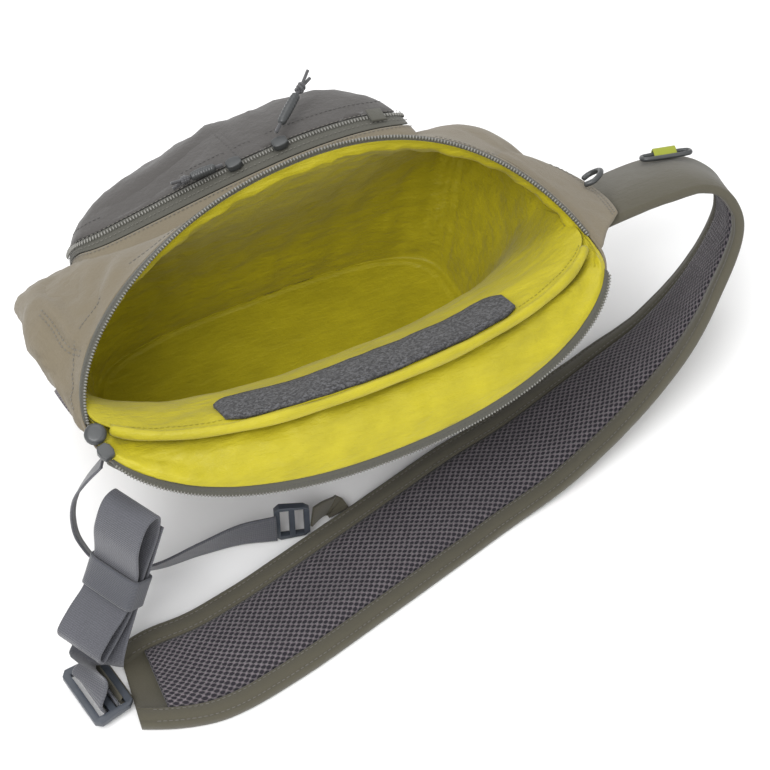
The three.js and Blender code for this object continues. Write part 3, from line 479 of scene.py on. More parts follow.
def photo_ray(x, y):
    """The direction of a pixel of the photograph."""
    ahead = (CAMERA_AIM - CAMERA_AT).normalized()
    right = ahead.cross(UP).normalized()
    above = right.cross(ahead)
    half = PHOTO / 2
    scale = SENSOR / LENS / PHOTO
    return (ahead + right * (x - half) * scale + above * (half - y) * scale).normalized()


def tree_of(piece):
    """A search tree over a piece, in millimetres."""
    points = [v.co / MM for v in piece.data.vertices]
    return BVHTree.FromPolygons(points, [tuple(p.vertices) for p in piece.data.polygons])


def on_piece(tree, pixels, count, lift=0.0):
    """Evenly spaced points and facings where rays along a line of pixels meet a piece."""
    found = []
    for pixel in spaced([Vector((x, y, 0)) for x, y in pixels], count):
        ray = photo_ray(pixel.x, pixel.y)
        at, normal, _index, _distance = tree.ray_cast(CAMERA_AT, ray)
        if at is None:
            continue
        if normal.dot(ray) > 0:
            normal = -normal
        found.append((at + normal * lift, normal))
    return found


def crease(piece, path, width, depth):
    """Sinks a mesh along a path of points; a negative depth raises a fold. Its ends fade."""
    if len(path) < 2:
        return
    co = np.empty(len(piece.data.vertices) * 3, np.float32)
    normals = np.empty_like(co)
    piece.data.vertices.foreach_get("co", co)
    piece.data.vertices.foreach_get("normal", normals)
    co = co.reshape(-1, 3).astype(float) / MM
    normals = normals.reshape(-1, 3)
    nearest = np.full(len(co), 1e9)
    share = np.zeros(len(co))
    facing = np.zeros_like(co)
    spans = len(path) - 1
    for n in range(spans):
        a = np.array(path[n][0])
        b = np.array(path[n + 1][0])
        d = b - a
        t = np.clip(((co - a) @ d) / max(1e-9, d @ d), 0, 1)
        away = np.linalg.norm(co - (a + t[:, None] * d), axis=1)
        better = away < nearest
        nearest[better] = away[better]
        share[better] = (n + t[better]) / spans
        facing[better] = np.array(path[n][1])
    amount = depth * np.exp(-((nearest / width) ** 2))
    amount *= np.sin(np.pi * np.clip(share, 0.02, 0.98)) ** 0.6
    amount[(normals * facing).sum(1) < 0.1] = 0.0
    co -= facing * amount[:, None]
    co[:, 2] = np.maximum(co[:, 2], 0)
    piece.data.vertices.foreach_set("co", (co * MM).astype(np.float32).ravel())
    piece.data.update()


def draw_folds(piece, folds, count):
    """Makes the folds that were read off the photograph."""
    tree = tree_of(piece)
    for pixels, width, depth in folds:
        crease(piece, on_piece(tree, pixels, count), width, depth)


# What repeats along a line: stitches and zip teeth

BEAD_SEED = 3
BEAD_INPUTS = (
    ("Geometry", "Geometry"), ("Spacing", "Float"), ("Size", "Vector"), ("Uneven", "Float"),
    ("Seed", "Int"), ("Material", "Material"),
)
# Label, type, settings and input values
BEAD_NODES = (
    ("start", "NodeGroupInput", {}, {}),
    ("end", "NodeGroupOutput", {}, {}),
    ("curve", "GeometryNodeMeshToCurve", {}, {}),
    ("even", "GeometryNodeResampleCurve", {"mode": "LENGTH"}, {}),
    ("bead", "GeometryNodeMeshUVSphere", {}, {"Segments": 6, "Rings": 4, "Radius": 0.5}),
    ("tangent", "GeometryNodeInputTangent", {}, {}),
    (
        "facing", "GeometryNodeInputNamedAttribute", {"data_type": "FLOAT_VECTOR"},
        {"Name": "facing"},
    ),
    ("along", "FunctionNodeAlignRotationToVector", {"axis": "X"}, {}),
    ("upward", "FunctionNodeAlignRotationToVector", {"axis": "Z", "pivot_axis": "X"}, {}),
    ("set", "GeometryNodeInstanceOnPoints", {}, {}),
    ("uneven", "FunctionNodeRandomValue", {"data_type": "FLOAT"}, {}),
    ("low", "ShaderNodeMath", {"operation": "SUBTRACT"}, {0: 1}),
    ("high", "ShaderNodeMath", {"operation": "ADD"}, {0: 1}),
    ("size", "ShaderNodeVectorMath", {"operation": "SCALE"}, {}),
    ("real", "GeometryNodeRealizeInstances", {}, {}),
    ("paint", "GeometryNodeSetMaterial", {}, {}),
)
# From a node's output to a node's input; 2 and 3 are the random node's lowest and highest number
BEAD_LINKS = (
    ("start", "Geometry", "curve", "Mesh"),
    ("curve", "Curve", "even", "Curve"),
    ("start", "Spacing", "even", "Length"),
    ("even", "Curve", "set", "Points"),
    ("bead", "Mesh", "set", "Instance"),
    ("tangent", "Tangent", "along", "Vector"),
    ("along", "Rotation", "upward", "Rotation"),
    ("facing", "Attribute", "upward", "Vector"),
    ("upward", "Rotation", "set", "Rotation"),
    ("start", "Uneven", "low", 1),
    ("start", "Uneven", "high", 1),
    ("low", 0, "uneven", 2),
    ("high", 0, "uneven", 3),
    ("start", "Seed", "uneven", "Seed"),
    ("start", "Size", "size", 0),
    ("uneven", 1, "size", "Scale"),
    ("size", "Vector", "set", "Scale"),
    ("set", "Instances", "real", "Geometry"),
    ("real", "Geometry", "paint", "Geometry"),
    ("start", "Material", "paint", "Material"),
    ("paint", "Geometry", "end", "Geometry"),
)


def bead_tree():
    """Geometry nodes that set small rounded beads along a line, turned to face off its cloth."""
    name = "Beads along a line"
    if name in bpy.data.node_groups:
        return bpy.data.node_groups[name]
    tree = bpy.data.node_groups.new(name, "GeometryNodeTree")
    face = tree.interface
    face.new_socket("Geometry", in_out="OUTPUT", socket_type="NodeSocketGeometry")
    for label, kind in BEAD_INPUTS:
        face.new_socket(label, in_out="INPUT", socket_type="NodeSocket" + kind)
    nodes = {}
    for label, kind, settings, values in BEAD_NODES:
        nodes[label] = tree.nodes.new(kind)
        for key, value in settings.items():
            setattr(nodes[label], key, value)
        for key, value in values.items():
            nodes[label].inputs[key].default_value = value
    for source, output, target, place in BEAD_LINKS:
        tree.links.new(nodes[source].outputs[output], nodes[target].inputs[place])
    return tree


def beads(name, lines, spacing, size, finish, slot, uneven=0.08):
    """Beads along one or more lines of (point, facing), as one plain mesh."""
    lines = [line for line in lines if len(line) > 1]
    if not lines:
        raise RuntimeError(name + ": no line was found to set it on")
    points = [p for line in lines for p, _n in line]
    facings = [tuple(n) for line in lines for _p, n in line]
    edges = []
    first = 0
    for line in lines:
        edges += [(first + i, first + i + 1) for i in range(len(line) - 1)]
        first += len(line)
    mesh = bpy.data.meshes.new(name)
    mesh.from_pydata([tuple(p * MM) for p in points], edges, [])
    attribute = mesh.attributes.new("facing", "FLOAT_VECTOR", "POINT")
    attribute.data.foreach_set("vector", np.array(facings, np.float32).ravel())
    piece = placed(name, mesh)
    modifier = piece.modifiers.new("Beads", "NODES")
    modifier.node_group = bead_tree()
    values = {
        "Spacing": spacing * MM,
        "Size": [s * MM for s in size],
        "Uneven": uneven,
        "Seed": BEAD_SEED,
        "Material": finish,
    }
    for socket in modifier.node_group.interface.items_tree:
        if socket.item_type == "SOCKET" and socket.in_out == "INPUT" and socket.name in values:
            modifier[socket.identifier] = values[socket.name]
    settle(piece)
    if "facing" in piece.data.attributes:
        piece.data.attributes.remove(piece.data.attributes["facing"])
    return dress(piece, finish, slot)


def stitches(name, lines, slot, pitch=3.0, thread=0.65, finish=None):
    """Rows of sewn stitches."""
    size = (pitch * 0.78, thread, thread * 0.7)
    return beads(name, lines, pitch, size, finish or finishes()["thread"], slot)


# Finishes


class Finish:
    """One material, its nodes added by plain calls; lengths in the pattern are millimetres."""

    def __init__(self, name, roughness, **constants):
        self.material = bpy.data.materials.new(name)
        self.material.use_nodes = True
        self.tree = self.material.node_tree
        self.shader = self.tree.nodes["Principled BSDF"]
        self.shader.inputs["Roughness"].default_value = roughness
        for label, value in constants.items():
            self.shader.inputs[label.replace("_", " ")].default_value = value
        self.bump = None

    def node(self, kind, values=None, output=0, **settings):
        """Adds a node, sets or links its inputs and returns one of its outputs."""
        made = self.tree.nodes.new(kind)
        for key, value in settings.items():
            setattr(made, key, value)
        for key, value in (values or {}).items():
            if isinstance(value, bpy.types.NodeSocket):
                self.tree.links.new(value, made.inputs[key])
            else:
                made.inputs[key].default_value = value
        return made.outputs[output]

    def math(self, operation, first, second=0.0):
        """A sum on one or two values."""
        return self.node("ShaderNodeMath", {0: first, 1: second}, operation=operation)

    def place(self, space):
        """Where the pattern is read, in millimetres."""
        if space == "UV":
            return self.node("ShaderNodeTexCoord", output="UV")
        at = self.node("ShaderNodeTexCoord", output="Object")
        return self.vector("SCALE", {0: at, "Scale": 1 / MM})

    def stretched(self, at, scale):
        """The same place, scaled unevenly."""
        return self.vector("MULTIPLY", {0: at, 1: scale})

    def speckle(self, at, size, detail=3.0, rough=0.55):
        """Noise of about the given size."""
        values = {"Vector": at, "Scale": 1.0 / size, "Detail": detail, "Roughness": rough}
        return self.node("ShaderNodeTexNoise", values, output="Fac")

    def ramp(self, value, low, high, bottom=0.0, top=1.0):
        """A smooth step on a value."""
        values = {
            "Value": value, "From Min": low, "From Max": high, "To Min": bottom, "To Max": top,
        }
        return self.node("ShaderNodeMapRange", values, interpolation_type="SMOOTHSTEP")

    def blend(self, factor, first, second):
        """A colour between two."""
        values = {0: factor, 6: first, 7: second}
        return self.node("ShaderNodeMix", values, output=2, data_type="RGBA")

    def vector(self, operation, values, output=0):
        """A sum on vectors; the input Scale is a number."""
        return self.node("ShaderNodeVectorMath", values, output, operation=operation)

    def relief(self, height, depth, strength=1.0):
        """Adds a bump of the given depth in millimetres."""
        values = {"Height": height, "Distance": depth * MM, "Strength": strength}
        if self.bump is not None:
            values["Normal"] = self.bump
        self.bump = self.node("ShaderNodeBump", values, output="Normal")

    def done(self, colour):
        """Links the colour and the bump to the shader."""
        self.tree.links.new(colour, self.shader.inputs["Base Color"])
        if self.bump is not None:
            self.tree.links.new(self.bump, self.shader.inputs["Normal"])
        return self.material


def darker(colour, share):
    """A colour with less light in it."""
    return tuple(c * share for c in colour[:3]) + (1.0,)


def weave(made, at, pitch):
    """Threads over and under each other, from 0 to 1."""
    turned = made.vector("SCALE", {0: at, "Scale": TAU / pitch})
    axes = made.node("ShaderNodeSeparateXYZ", {"Vector": turned}).node.outputs
    waves = [made.math("SINE", axes[n]) for n in range(3)]
    flat = made.math("ADD", waves[0], waves[2])
    both = made.math("MULTIPLY", flat, made.math("ADD", waves[1], 0.4))
    return made.ramp(both, -1.2, 1.2)


def woven_cloth(name, colour, roughness=0.88, pitch=0.9, wear=0.78, folds=0.6, sheen=0.15):
    """Matt woven cloth, with uneven dye, a weave and small creases."""
    made = Finish(name, roughness, Sheen_Weight=sheen, Sheen_Roughness=0.6, Specular_IOR_Level=0.3)
    at = made.place("Object")
    large = made.speckle(at, 34, 4)
    fine = made.speckle(at, 1.7, 2)
    threads = weave(made, at, pitch)
    base = made.blend(made.ramp(large, 0.3, 0.7), darker(colour, wear), colour)
    base = made.blend(made.ramp(fine, 0.25, 0.8, 0.0, 0.5), base, darker(colour, 0.6))
    base = made.blend(made.math("MULTIPLY", threads, 0.25), darker(colour, 0.7), base)
    made.relief(made.speckle(at, 14, 5, 0.6), 2.0, folds)
    made.relief(made.speckle(at, 3.2, 3), 0.3, 0.5)
    made.relief(threads, 0.09, 0.7)
    return made.done(base)


def lining_cloth(name, colour):
    """Slippery coated nylon, with brushed wrinkles and a faint sheen."""
    made = Finish(name, 0.46, Sheen_Weight=0.1, Specular_IOR_Level=0.3)
    at = made.place("Object")
    streaks = made.speckle(made.stretched(at, (0.35, 1.0, 1.3)), 9, 5, 0.62)
    broad = made.speckle(at, 30, 3)
    fine = made.speckle(at, 1.4, 2)
    base = made.blend(made.ramp(broad, 0.3, 0.7), darker(colour, 0.86), colour)
    base = made.blend(made.ramp(streaks, 0.38, 0.7, 0.0, 0.4), base, darker(colour, 0.7))
    made.relief(streaks, 2.0, 0.9)
    made.relief(made.speckle(made.stretched(at, (1.0, 0.5, 1.0)), 20, 4), 2.0, 0.6)
    made.relief(fine, 0.08, 0.5)
    return made.done(base)


def spacer_mesh(name, colour, hole_shade, pitch):
    """Knitted spacer mesh: ridges round staggered holes of painted shade, read from the piece's own UV
    map.
    """
    made = Finish(name, 0.9, Sheen_Weight=0.2, Specular_IOR_Level=0.25)
    at = made.place("UV")
    values = {"Vector": at, "Scale": 0.4, "Detail": 2.0}
    wobble = made.node("ShaderNodeTexNoise", values, output="Color")
    at = made.vector("ADD", {0: at, 1: made.vector("SCALE", {0: wobble, "Scale": 0.9})})
    cell = made.stretched(at, (1 / pitch, 1 / (pitch * 1.25), 1.0))
    near = None
    for shift in ((0.0, 0.0, 0.0), (0.5, 0.5, 0.0)):
        part = made.vector("FRACTION", {0: made.vector("ADD", {0: cell, 1: shift})})
        part = made.vector("SUBTRACT", {0: part, 1: (0.5, 0.5, 0.0)})
        part = made.stretched(part, (1.0, 0.9, 0.0))
        distance = made.vector("LENGTH", {0: part}, "Value")
        near = distance if near is None else made.math("MINIMUM", near, distance)
    ridge = made.ramp(near, 0.2, 0.36)
    fibres = made.speckle(at, 0.6, 3)
    large = made.speckle(at, 30, 3)
    base = made.blend(made.ramp(large, 0.3, 0.7), darker(colour, 0.82), colour)
    base = made.blend(made.ramp(fibres, 0.3, 0.75, 0.0, 0.5), base, darker(colour, 0.62))
    # The holes get painted shade: a near-black colour in place of the shadow inside their unmodelled
    # depth.
    base = made.blend(ridge, hole_shade, base)
    made.relief(ridge, 1.1, 1.0)
    made.relief(fibres, 0.15, 0.6)
    return made.done(base)


def ribbed_band(name, colour, pitch=1.15, roughness=0.62):
    """Woven webbing with ribs across it, read from the piece's own UV map."""
    made = Finish(name, roughness, Sheen_Weight=0.25, Specular_IOR_Level=0.4)
    at = made.place("UV")
    axes = made.node("ShaderNodeSeparateXYZ", {"Vector": at}).node
    ribs = made.math("SINE", made.math("MULTIPLY", axes.outputs[1], TAU / pitch))
    chevron = made.math("SINE", made.math("MULTIPLY", axes.outputs[0], TAU / 1.7))
    rib = made.ramp(made.math("ADD", ribs, made.math("MULTIPLY", chevron, 0.35)), -1.2, 1.2)
    fine = made.speckle(at, 0.8, 2)
    large = made.speckle(at, 18, 3)
    base = made.blend(made.ramp(large, 0.3, 0.7), darker(colour, 0.8), colour)
    base = made.blend(made.math("MULTIPLY", rib, 0.6), darker(colour, 0.55), base)
    base = made.blend(made.ramp(fine, 0.3, 0.8, 0.0, 0.3), base, darker(colour, 1.35))
    made.relief(rib, 0.22, 0.9)
    made.relief(fine, 0.06, 0.5)
    return made.done(base)


def molded(name, colour, roughness=0.4, grain=0.05):
    """Molded plastic with a fine grain and rubbed high spots."""
    made = Finish(name, roughness, Specular_IOR_Level=0.5)
    at = made.place("Object")
    large = made.speckle(at, 9, 3)
    fine = made.speckle(at, 0.5, 2)
    base = made.blend(made.ramp(large, 0.35, 0.7), darker(colour, 0.82), colour)
    base = made.blend(made.ramp(fine, 0.5, 0.8, 0.0, 0.25), base, darker(colour, 1.5))
    made.relief(fine, grain, 0.5)
    return made.done(base)


def fuzzy(name, colour):
    """Loop tape: short tangled fibres."""
    made = Finish(name, 0.95, Sheen_Weight=0.08, Specular_IOR_Level=0.15)
    at = made.place("Object")
    fibres = made.speckle(at, 1.6, 4, 0.7)
    tufts = made.speckle(at, 4.0, 3)
    base = made.blend(made.ramp(fibres, 0.4, 0.6), darker(colour, 0.5), darker(colour, 1.7))
    base = made.blend(made.ramp(tufts, 0.35, 0.7, 0.0, 0.5), base, darker(colour, 0.75))
    made.relief(fibres, 0.6, 1.0)
    return made.done(base)


_finishes = {}


def finishes():
    """Every finish of the bag by name, made once."""
    if _finishes:
        return _finishes
    look = bpy.context.scene.sling_bag
    canvas, lining, pocket, strap, webbing = (
        tuple(c) + (1,) for c in (look.canvas, look.lining, look.pocket, look.strap, look.webbing)
    )
    # The mesh's own colour, then the painted shade that fills its holes.
    knit_and_hole_shade = srgb(112, 104, 110), srgb(34, 31, 38)
    _finishes.update(
        {
            "canvas": woven_cloth("tan cloth", canvas),
            "lining": lining_cloth("yellow lining", lining),
            "pocket": woven_cloth("gray pocket cloth", pocket, 0.72, folds=0.8),
            "strap": woven_cloth("olive strap cloth", strap, folds=0.45),
            "trim": woven_cloth("gray tape", srgb(82, 81, 72), 0.75, 0.7, folds=0.2),
            "mesh": spacer_mesh("spacer mesh", *knit_and_hole_shade, look.mesh_pitch),
            "webbing": ribbed_band("gray webbing", webbing),
            "elastic": ribbed_band("elastic band", srgb(70, 72, 80), 0.9, 0.5),
            "plastic": molded("blue-gray plastic", srgb(62, 67, 75)),
            "dark_plastic": molded("dark plastic", srgb(62, 64, 65), 0.35),
            "coil": molded("zip coil", srgb(128, 127, 122), 0.35, 0.02),
            "cord": ribbed_band("gray cord", srgb(80, 80, 83), 0.8, 0.55),
            "accent": woven_cloth("yellow-green tape", srgb(160, 168, 50), 0.7, 0.8, folds=0.2),
            "loop_tape": fuzzy("loop tape", srgb(72, 72, 74)),
            "thread": woven_cloth("gray thread", srgb(120, 117, 110), 0.7, 0.4, folds=0.0),
            "dark_thread": woven_cloth("dark thread", srgb(78, 76, 74), 0.7, 0.4, folds=0.0),
            "lime_thread": woven_cloth("yellow thread", srgb(176, 166, 30), 0.6, 0.4, folds=0.0),
        }
    )
    return _finishes


# Body


BODY_LEVELS = 58
LINING_LEVELS = 54
BODY_COLUMNS = 220
RIM_SEAM_LEVEL = 6.05


def body_rows(level_count, depth):
    """Rows of points round the whole body at a depth under its surface."""
    angles = [TAU * i / BODY_COLUMNS for i in range(BODY_COLUMNS)]
    levels = shares(0, LAST, level_count)
    return levels, angles, [[under(a, level, depth) for a in angles] for level in levels]


def make_body():
    """The tan cloth body, with its folds, pleats and seams."""
    look = bpy.context.scene.sling_bag
    levels, angles, rows = body_rows(BODY_LEVELS, 0.0)
    inner = []
    for level, row in zip(levels, rows):
        new = []
        for angle, point in zip(angles, row):
            out = outward(angle, level)
            free = smooth(level, 0.4, 1.6) * (1 - smooth(level, 5.9, 6.7))
            left = smooth(-point.x, 60, 140)
            back = smooth(-math.sin(angle), 0.15, 0.5)
            amount = rumple(point, 46, 1.7) * look.folds * (0.7 + 1.3 * left) * (1 - 0.8 * back)
            amount += 0.7 * look.folds * left * rumple(point, 16, 4.2)
            point += out * max(-1.2, amount - 0.3) * free
            if level < 0.05:
                point.z = 0
            point.z = max(point.z, 0.0)
            inner_point = point - out * SHELL_WALL
            inner_point.z = max(inner_point.z, SHELL_WALL)
            new.append(inner_point)
        inner.append(new)
    body = wall("main_shell_look", rows, inner, closed=True, base=True)
    draw_folds(body, BODY_FOLDS, 14)
    dress(body, finishes()["canvas"], "canvas", "main_shell")
    tree = tree_of(body)
    lines = [on_piece(tree, pixels, 40, 0.2) for pixels in BODY_SEAMS]
    rim_seam = []
    for angle in shares(math.radians(8), math.radians(172), 150):
        out = outward(angle, RIM_SEAM_LEVEL)
        hit = tree.find_nearest(surface(angle, RIM_SEAM_LEVEL) + out * 0.3)[0]
        rim_seam.append((hit + out * 0.25, out))
    lines.append(rim_seam)
    stitches("body_stitches", lines, "canvas", 2.9, 0.6)


# Folds at the webbing end and along the front, as pixels, width and depth in millimetres
BODY_FOLDS = (
    (((36, 300), (48, 318), (66, 344), (82, 352)), 3.4, 3.4),
    (((34, 292), (48, 308), (68, 334), (84, 342)), 5.0, -2.6),
    (((62, 250), (52, 275), (50, 300)), 6.0, 2.8),
    (((80, 262), (70, 290), (76, 322)), 6.0, 2.6),
    (((105, 270), (92, 300), (92, 332)), 6.0, 2.2),
    (((58, 372), (70, 382), (80, 400)), 4.0, 2.0),
    (((50, 352), (62, 362), (82, 370)), 4.0, 1.6),
    (((120, 250), (112, 275), (100, 300)), 6.0, -1.4),
    (((430, 120), (470, 132), (520, 160)), 4.0, 1.2),
    (((500, 140), (540, 168), (575, 200)), 4.0, 1.4),
)
# The two rows of stitches along the body's pleat, as pixels
BODY_SEAMS = (
    ((42, 311), (52, 322), (68, 346), (80, 351)),
    ((40, 316), (50, 327), (66, 351), (79, 356)),
)


def make_lining():
    """The yellow-green cloth cup inside the body, gathered under the rim."""
    look = bpy.context.scene.sling_bag
    levels, angles, rows = body_rows(LINING_LEVELS, LINING_IN)
    outer = [[under(a, level, LINING_OUT + 0.1) for a in angles] for level in levels]
    for level, row, back_row in zip(levels, rows, outer):
        free = smooth(level, 0.6, 1.6) * (1 - smooth(level, 6.5, 6.95))
        for angle, point, behind in zip(angles, row, back_row):
            front = smooth(math.sin(angle), 0.0, 0.4)
            gather = 0.5 + 0.5 * math.sin(angle * 36 + 3 * rumple(point, 60, 2.0))
            amount = look.lining_folds * (0.8 * abs(rumple(point, 26, 9.1)) + 0.5 * front * gather)
            amount += 0.4 * look.lining_folds * rumple(point, 9, 5.3)
            out = outward(angle, level)
            slack = 3.2 * free * (1 - 0.7 * smooth(-math.sin(angle), 0.2, 0.6))
            point -= out * (max(0, amount) * free + slack)
            behind -= out * slack
            floor = LINING_OUT if level < 0.2 else LINING_OUT + 1.2
            point.z = max(point.z, floor + LINING_WALL)
            behind.z = max(behind.z, floor)
    lining = wall("lining_look", outer, rows, closed=True, base=True)
    draw_folds(lining, LINING_FOLDS, 16)
    dress(lining, finishes()["lining"], "lining", "lining")
    make_slip_pocket()


LINING_FOLDS = (
    (((600, 262), (560, 300), (500, 345)), 4.0, -2.6),
    (((590, 250), (550, 275), (520, 300)), 5.0, 2.0),
    (((560, 225), (540, 262), (548, 300)), 4.5, -2.2),
    (((95, 400), (120, 420), (150, 430)), 4.0, -2.0),
    (((110, 452), (180, 478), (260, 480)), 5.0, -1.4),
    (((300, 455), (380, 430), (460, 395)), 5.0, -1.5),
    (((470, 400), (530, 365), (575, 330)), 4.0, -1.8),
    (((400, 152), (440, 160), (500, 190)), 3.0, -1.8),
    (((330, 160), (380, 158), (420, 168)), 3.0, 1.4),
    (((130, 330), (160, 290), (200, 250)), 5.0, -1.6),
)


SLIP_FOLDS = (
    (((160, 430), (200, 415), (232, 420)), 4.0, -1.4),
    (((250, 420), (300, 405), (380, 372)), 4.0, -1.2),
    (((470, 315), (520, 285), (560, 262)), 4.0, -1.6),
)
SLIP_FOOT = 2
HEM_SEAM_LEVEL = CREST - 0.16
LOOP_STRIP_LOW = 4.14
LOOP_STRIP_HIGH = 4.97
LOOP_STRIP_SEAT = SLIP_WALL + CLEARANCE + 0.9


def back_share(column):
    """Where a column lies along the back, from 0 at the webbing end to 1 at the shoulder end."""
    return (column - HALF_ROUND) / HALF_ROUND


def slip_depth(column, level):
    """How deep the slip pocket's outer face lies under the body's surface."""
    rise = max(0, (level - SLIP_FOOT) / (CREST - SLIP_FOOT))
    side = max(0.0, math.sin(math.pi * max(0, min(1, back_share(column)))))
    return LINING_IN + CLEARANCE + POCKET_SLACK * side**0.6 * rise**2


def slip_point(column, level, added):
    """A point of the slip pocket's cloth, with its soft waves."""
    angle = column_angle(column)
    free = smooth(level, 2.3, 3.4) * math.sin(math.pi * back_share(column)) ** 0.5
    wave = 1.3 * free * (rumple(surface(angle, level), 30, 6.0) + 0.5)
    return under(angle, level, slip_depth(column, level) + added + max(0, wave))


def make_slip_pocket():
    """The flat pocket on the back of the lining, its rolled hem and its strip of loop tape."""
    columns = shares(HALF_ROUND + 2, ROUND - 2, 120)
    levels = shares(SLIP_FOOT, CREST, 30)
    faces = [
        [[slip_point(column, level, added) for column in columns] for level in levels]
        for added in (0, SLIP_WALL)
    ]
    cloth = wall("slip_pocket_look", *faces)
    draw_folds(cloth, SLIP_FOLDS, 14)
    settle(cloth, [subdivided(1)])
    dress(cloth, finishes()["lining"], "lining", "slip_pocket")

    tree = tree_of(cloth)
    points = []
    seam = []
    for column in shares(HALF_ROUND + 3, ROUND - 3, 110):
        angle = column_angle(column)
        top = slip_depth(column, CREST)
        away = (under(angle, CREST, top) - under(angle, CREST - 0.5, top)).normalized()
        rolled = under(angle, CREST, top + HEM_RADIUS - SLIP_WALL)
        points.append(rolled + away * (HEM_RADIUS + 4 * CLEARANCE - 0.7))
        below = slip_depth(column, HEM_SEAM_LEVEL) + SLIP_WALL + 4
        deep = under(angle, HEM_SEAM_LEVEL, below)
        hit = tree.find_nearest(deep)[0]
        inward = (deep - hit).normalized()
        seam.append((hit + inward * 0.3, inward))

    def hem_section(t):
        swell = 1 + 0.12 * math.sin(34 * t) * math.sin(11 * t + 1)
        return circle(HEM_RADIUS * swell, 14, 0.86)

    hem = sweep("slip_pocket_hem_look", frames_turning(points), hem_section)
    dress(hem, finishes()["lining"], "lining", "slip_pocket_hem")
    stitches("hem_stitches", [seam[2:-2]], "lining", 3.0, 0.55, finishes()["lime_thread"])

    ends = shares(HALF_ROUND + 7, HALF_ROUND + 15, 60)

    def strip(added):
        rows = []
        for t in shares(0, 1, 8):
            row = []
            for i, column in enumerate(ends):
                corner = (1 - min(1, min(i, len(ends) - 1 - i) / 4)) ** 2
                level = mix(LOOP_STRIP_LOW + 0.2 * corner, LOOP_STRIP_HIGH - 0.1 * corner, t)
                row.append(slip_point(column, level, LOOP_STRIP_SEAT + added))
            rows.append(row)
        return rows

    tape = wall("loop_strip_look", strip(-0.6), strip(LOOP_STRIP_WALL))
    dress(tape, finishes()["loop_tape"], "trim", "loop_strip")
    top = strip(LOOP_STRIP_WALL + 0.15)
    edge = [
        [(p, -outward(column_angle(c), 4.8)) for p, c in zip(row, ends)][2:-2]
        for row in (top[1], top[-2])
    ]
    stitches("loop_strip_stitches", edge, "trim", 2.6, 0.5, finishes()["dark_thread"])


# Zips round the mouth


def rim_frames(start, end, count):
    """Frames along the rim, their sideways direction away from the bag."""
    frames = []
    for column in shares(start, end, count):
        angle = column_angle(column)
        rim = surface(angle, LAST)
        away = (rim - surface(angle, LAST - 0.1)).normalized()
        up = outward(angle, LAST)
        at = rim - up * LINING_IN / 2 + away * (ZIP_CLEARANCE + ZIP_WIDTH / 2)
        frames.append((at, away, up, away.cross(up).normalized()))
    return frames


def make_zips():
    """The two halves of the main zip, with their teeth, sewn round the mouth."""
    look = bpy.context.scene.sling_bag
    w = ZIP_WIDTH / 2
    tape = [
        (-w - 1.2, -1.0), (-w, -1.25), (-0.8, -1.2), (0.9, -0.7), (w - 0.9, -0.6),
        (w - 0.4, 0),
        (w - 0.9, 0.6), (0.9, 0.7), (-0.8, 1.2), (-w, 1.25), (-w - 1.2, 1.0),
    ]
    lines = []
    sewn = []
    for name, start, end, count in (
        ("main_zip_front", 1, HALF_ROUND - 1, 200),
        ("main_zip_back", HALF_ROUND + 2, ROUND - 2, 170),
    ):
        frames = rim_frames(start, end, count)
        piece = sweep(name + "_look", frames, lambda t: tape)
        dress(piece, finishes()["trim"], "trim", name)
        lines.append([(at + across * (w - 0.7), across) for at, across, _up, _along in frames])
        for side in (-1, 1):
            sewn.append(
                [(at - across * 0.5 + up * side * 1.15, up * side) for at, across, up, _ in frames]
            )
    size = (look.tooth_pitch * 0.6, 2.2, 1.7)
    beads("zip_teeth", lines, look.tooth_pitch, size, finishes()["coil"], "trim", uneven=0.02)
    stitches("zip_stitches", sewn, "trim", 2.6, 0.5, finishes()["dark_thread"])
    refined("corner_tab", finishes()["dark_plastic"], "trim", 0.9)
    refined("main_zip_slider", finishes()["dark_plastic"], "plastic", 0.7)


# Front pocket

POCKET_OUTLINE = (
    (-1.0, 4.15), (-0.9, 4.5), (-0.5, 4.75), (0.0, 4.95), (0.5, 5.1), (0.95, 5.1), (1.02, 4.8),
    (1.02, 3.9), (1.0, 3.1), (0.9, 2.3), (0.5, 1.8), (-0.1, 1.7), (-0.68, 1.8), (-0.95, 2.3),
    (-1.03, 3.2),
)
POCKET_MIDDLE = Vector((0, 3.5 / LAST, 0))
BAND_END = GUSSET_SHARE + BAND_SHARE
ZIP_DEPTH = GUSSET_SHARE + 0.75 * BAND_SHARE
FACE_SQUARE = 3.2
FACE_EDGE = 0.98
FACE_SEAT = POCKET_WALL + CLEARANCE
# Rings of the face, closer to each other near its edge
FACE_SCALES = (
    0.04, 0.12, 0.2, 0.3, 0.4, 0.5, 0.58, 0.66, 0.73, 0.79, 0.84, 0.88, 0.91, 0.935, 0.955, 0.97,
    FACE_EDGE,
)
FACE_SEAM = 0.955
# The gusset's foot reaches into the body, so no slit shows under it
GUSSET_FOOT = -4.5


def front_point(x, level):
    """The point of the front surface at a distance along the bag."""
    near, far = 0.0, math.pi
    for _step in range(18):
        middle = (near + far) / 2
        if surface(middle, level).x > x:
            near = middle
        else:
            far = middle
    return surface((near + far) / 2, level)


outline_curve = knots_curve([Vector((a, level / LAST, 0)) for a, level in POCKET_OUTLINE], True)


def pocket_foot(share, scale):
    """The place under a pocket point on the body, and the pocket's depth there."""
    on = (outline_curve(share) - POCKET_MIDDLE) * scale + POCKET_MIDDLE
    body = front_point(POCKET_OFFSET + on.x * POCKET_LENGTH / 2, on.y * LAST)
    return body, max(POCKET_LEAST, POCKET_REACH - POCKET_BOW * on.x**2 - body.y)


def pocket_point(share, scale, depth, added=0.0):
    """A point of the pocket, as in the CAD model."""
    body, reach = pocket_foot(share, scale)
    return body + POCKET_AXIS * (depth * reach + added)


def crown(scale):
    """How full the face is at a scale of its outline."""
    return (1 - scale**FACE_SQUARE) ** (1 / FACE_SQUARE)


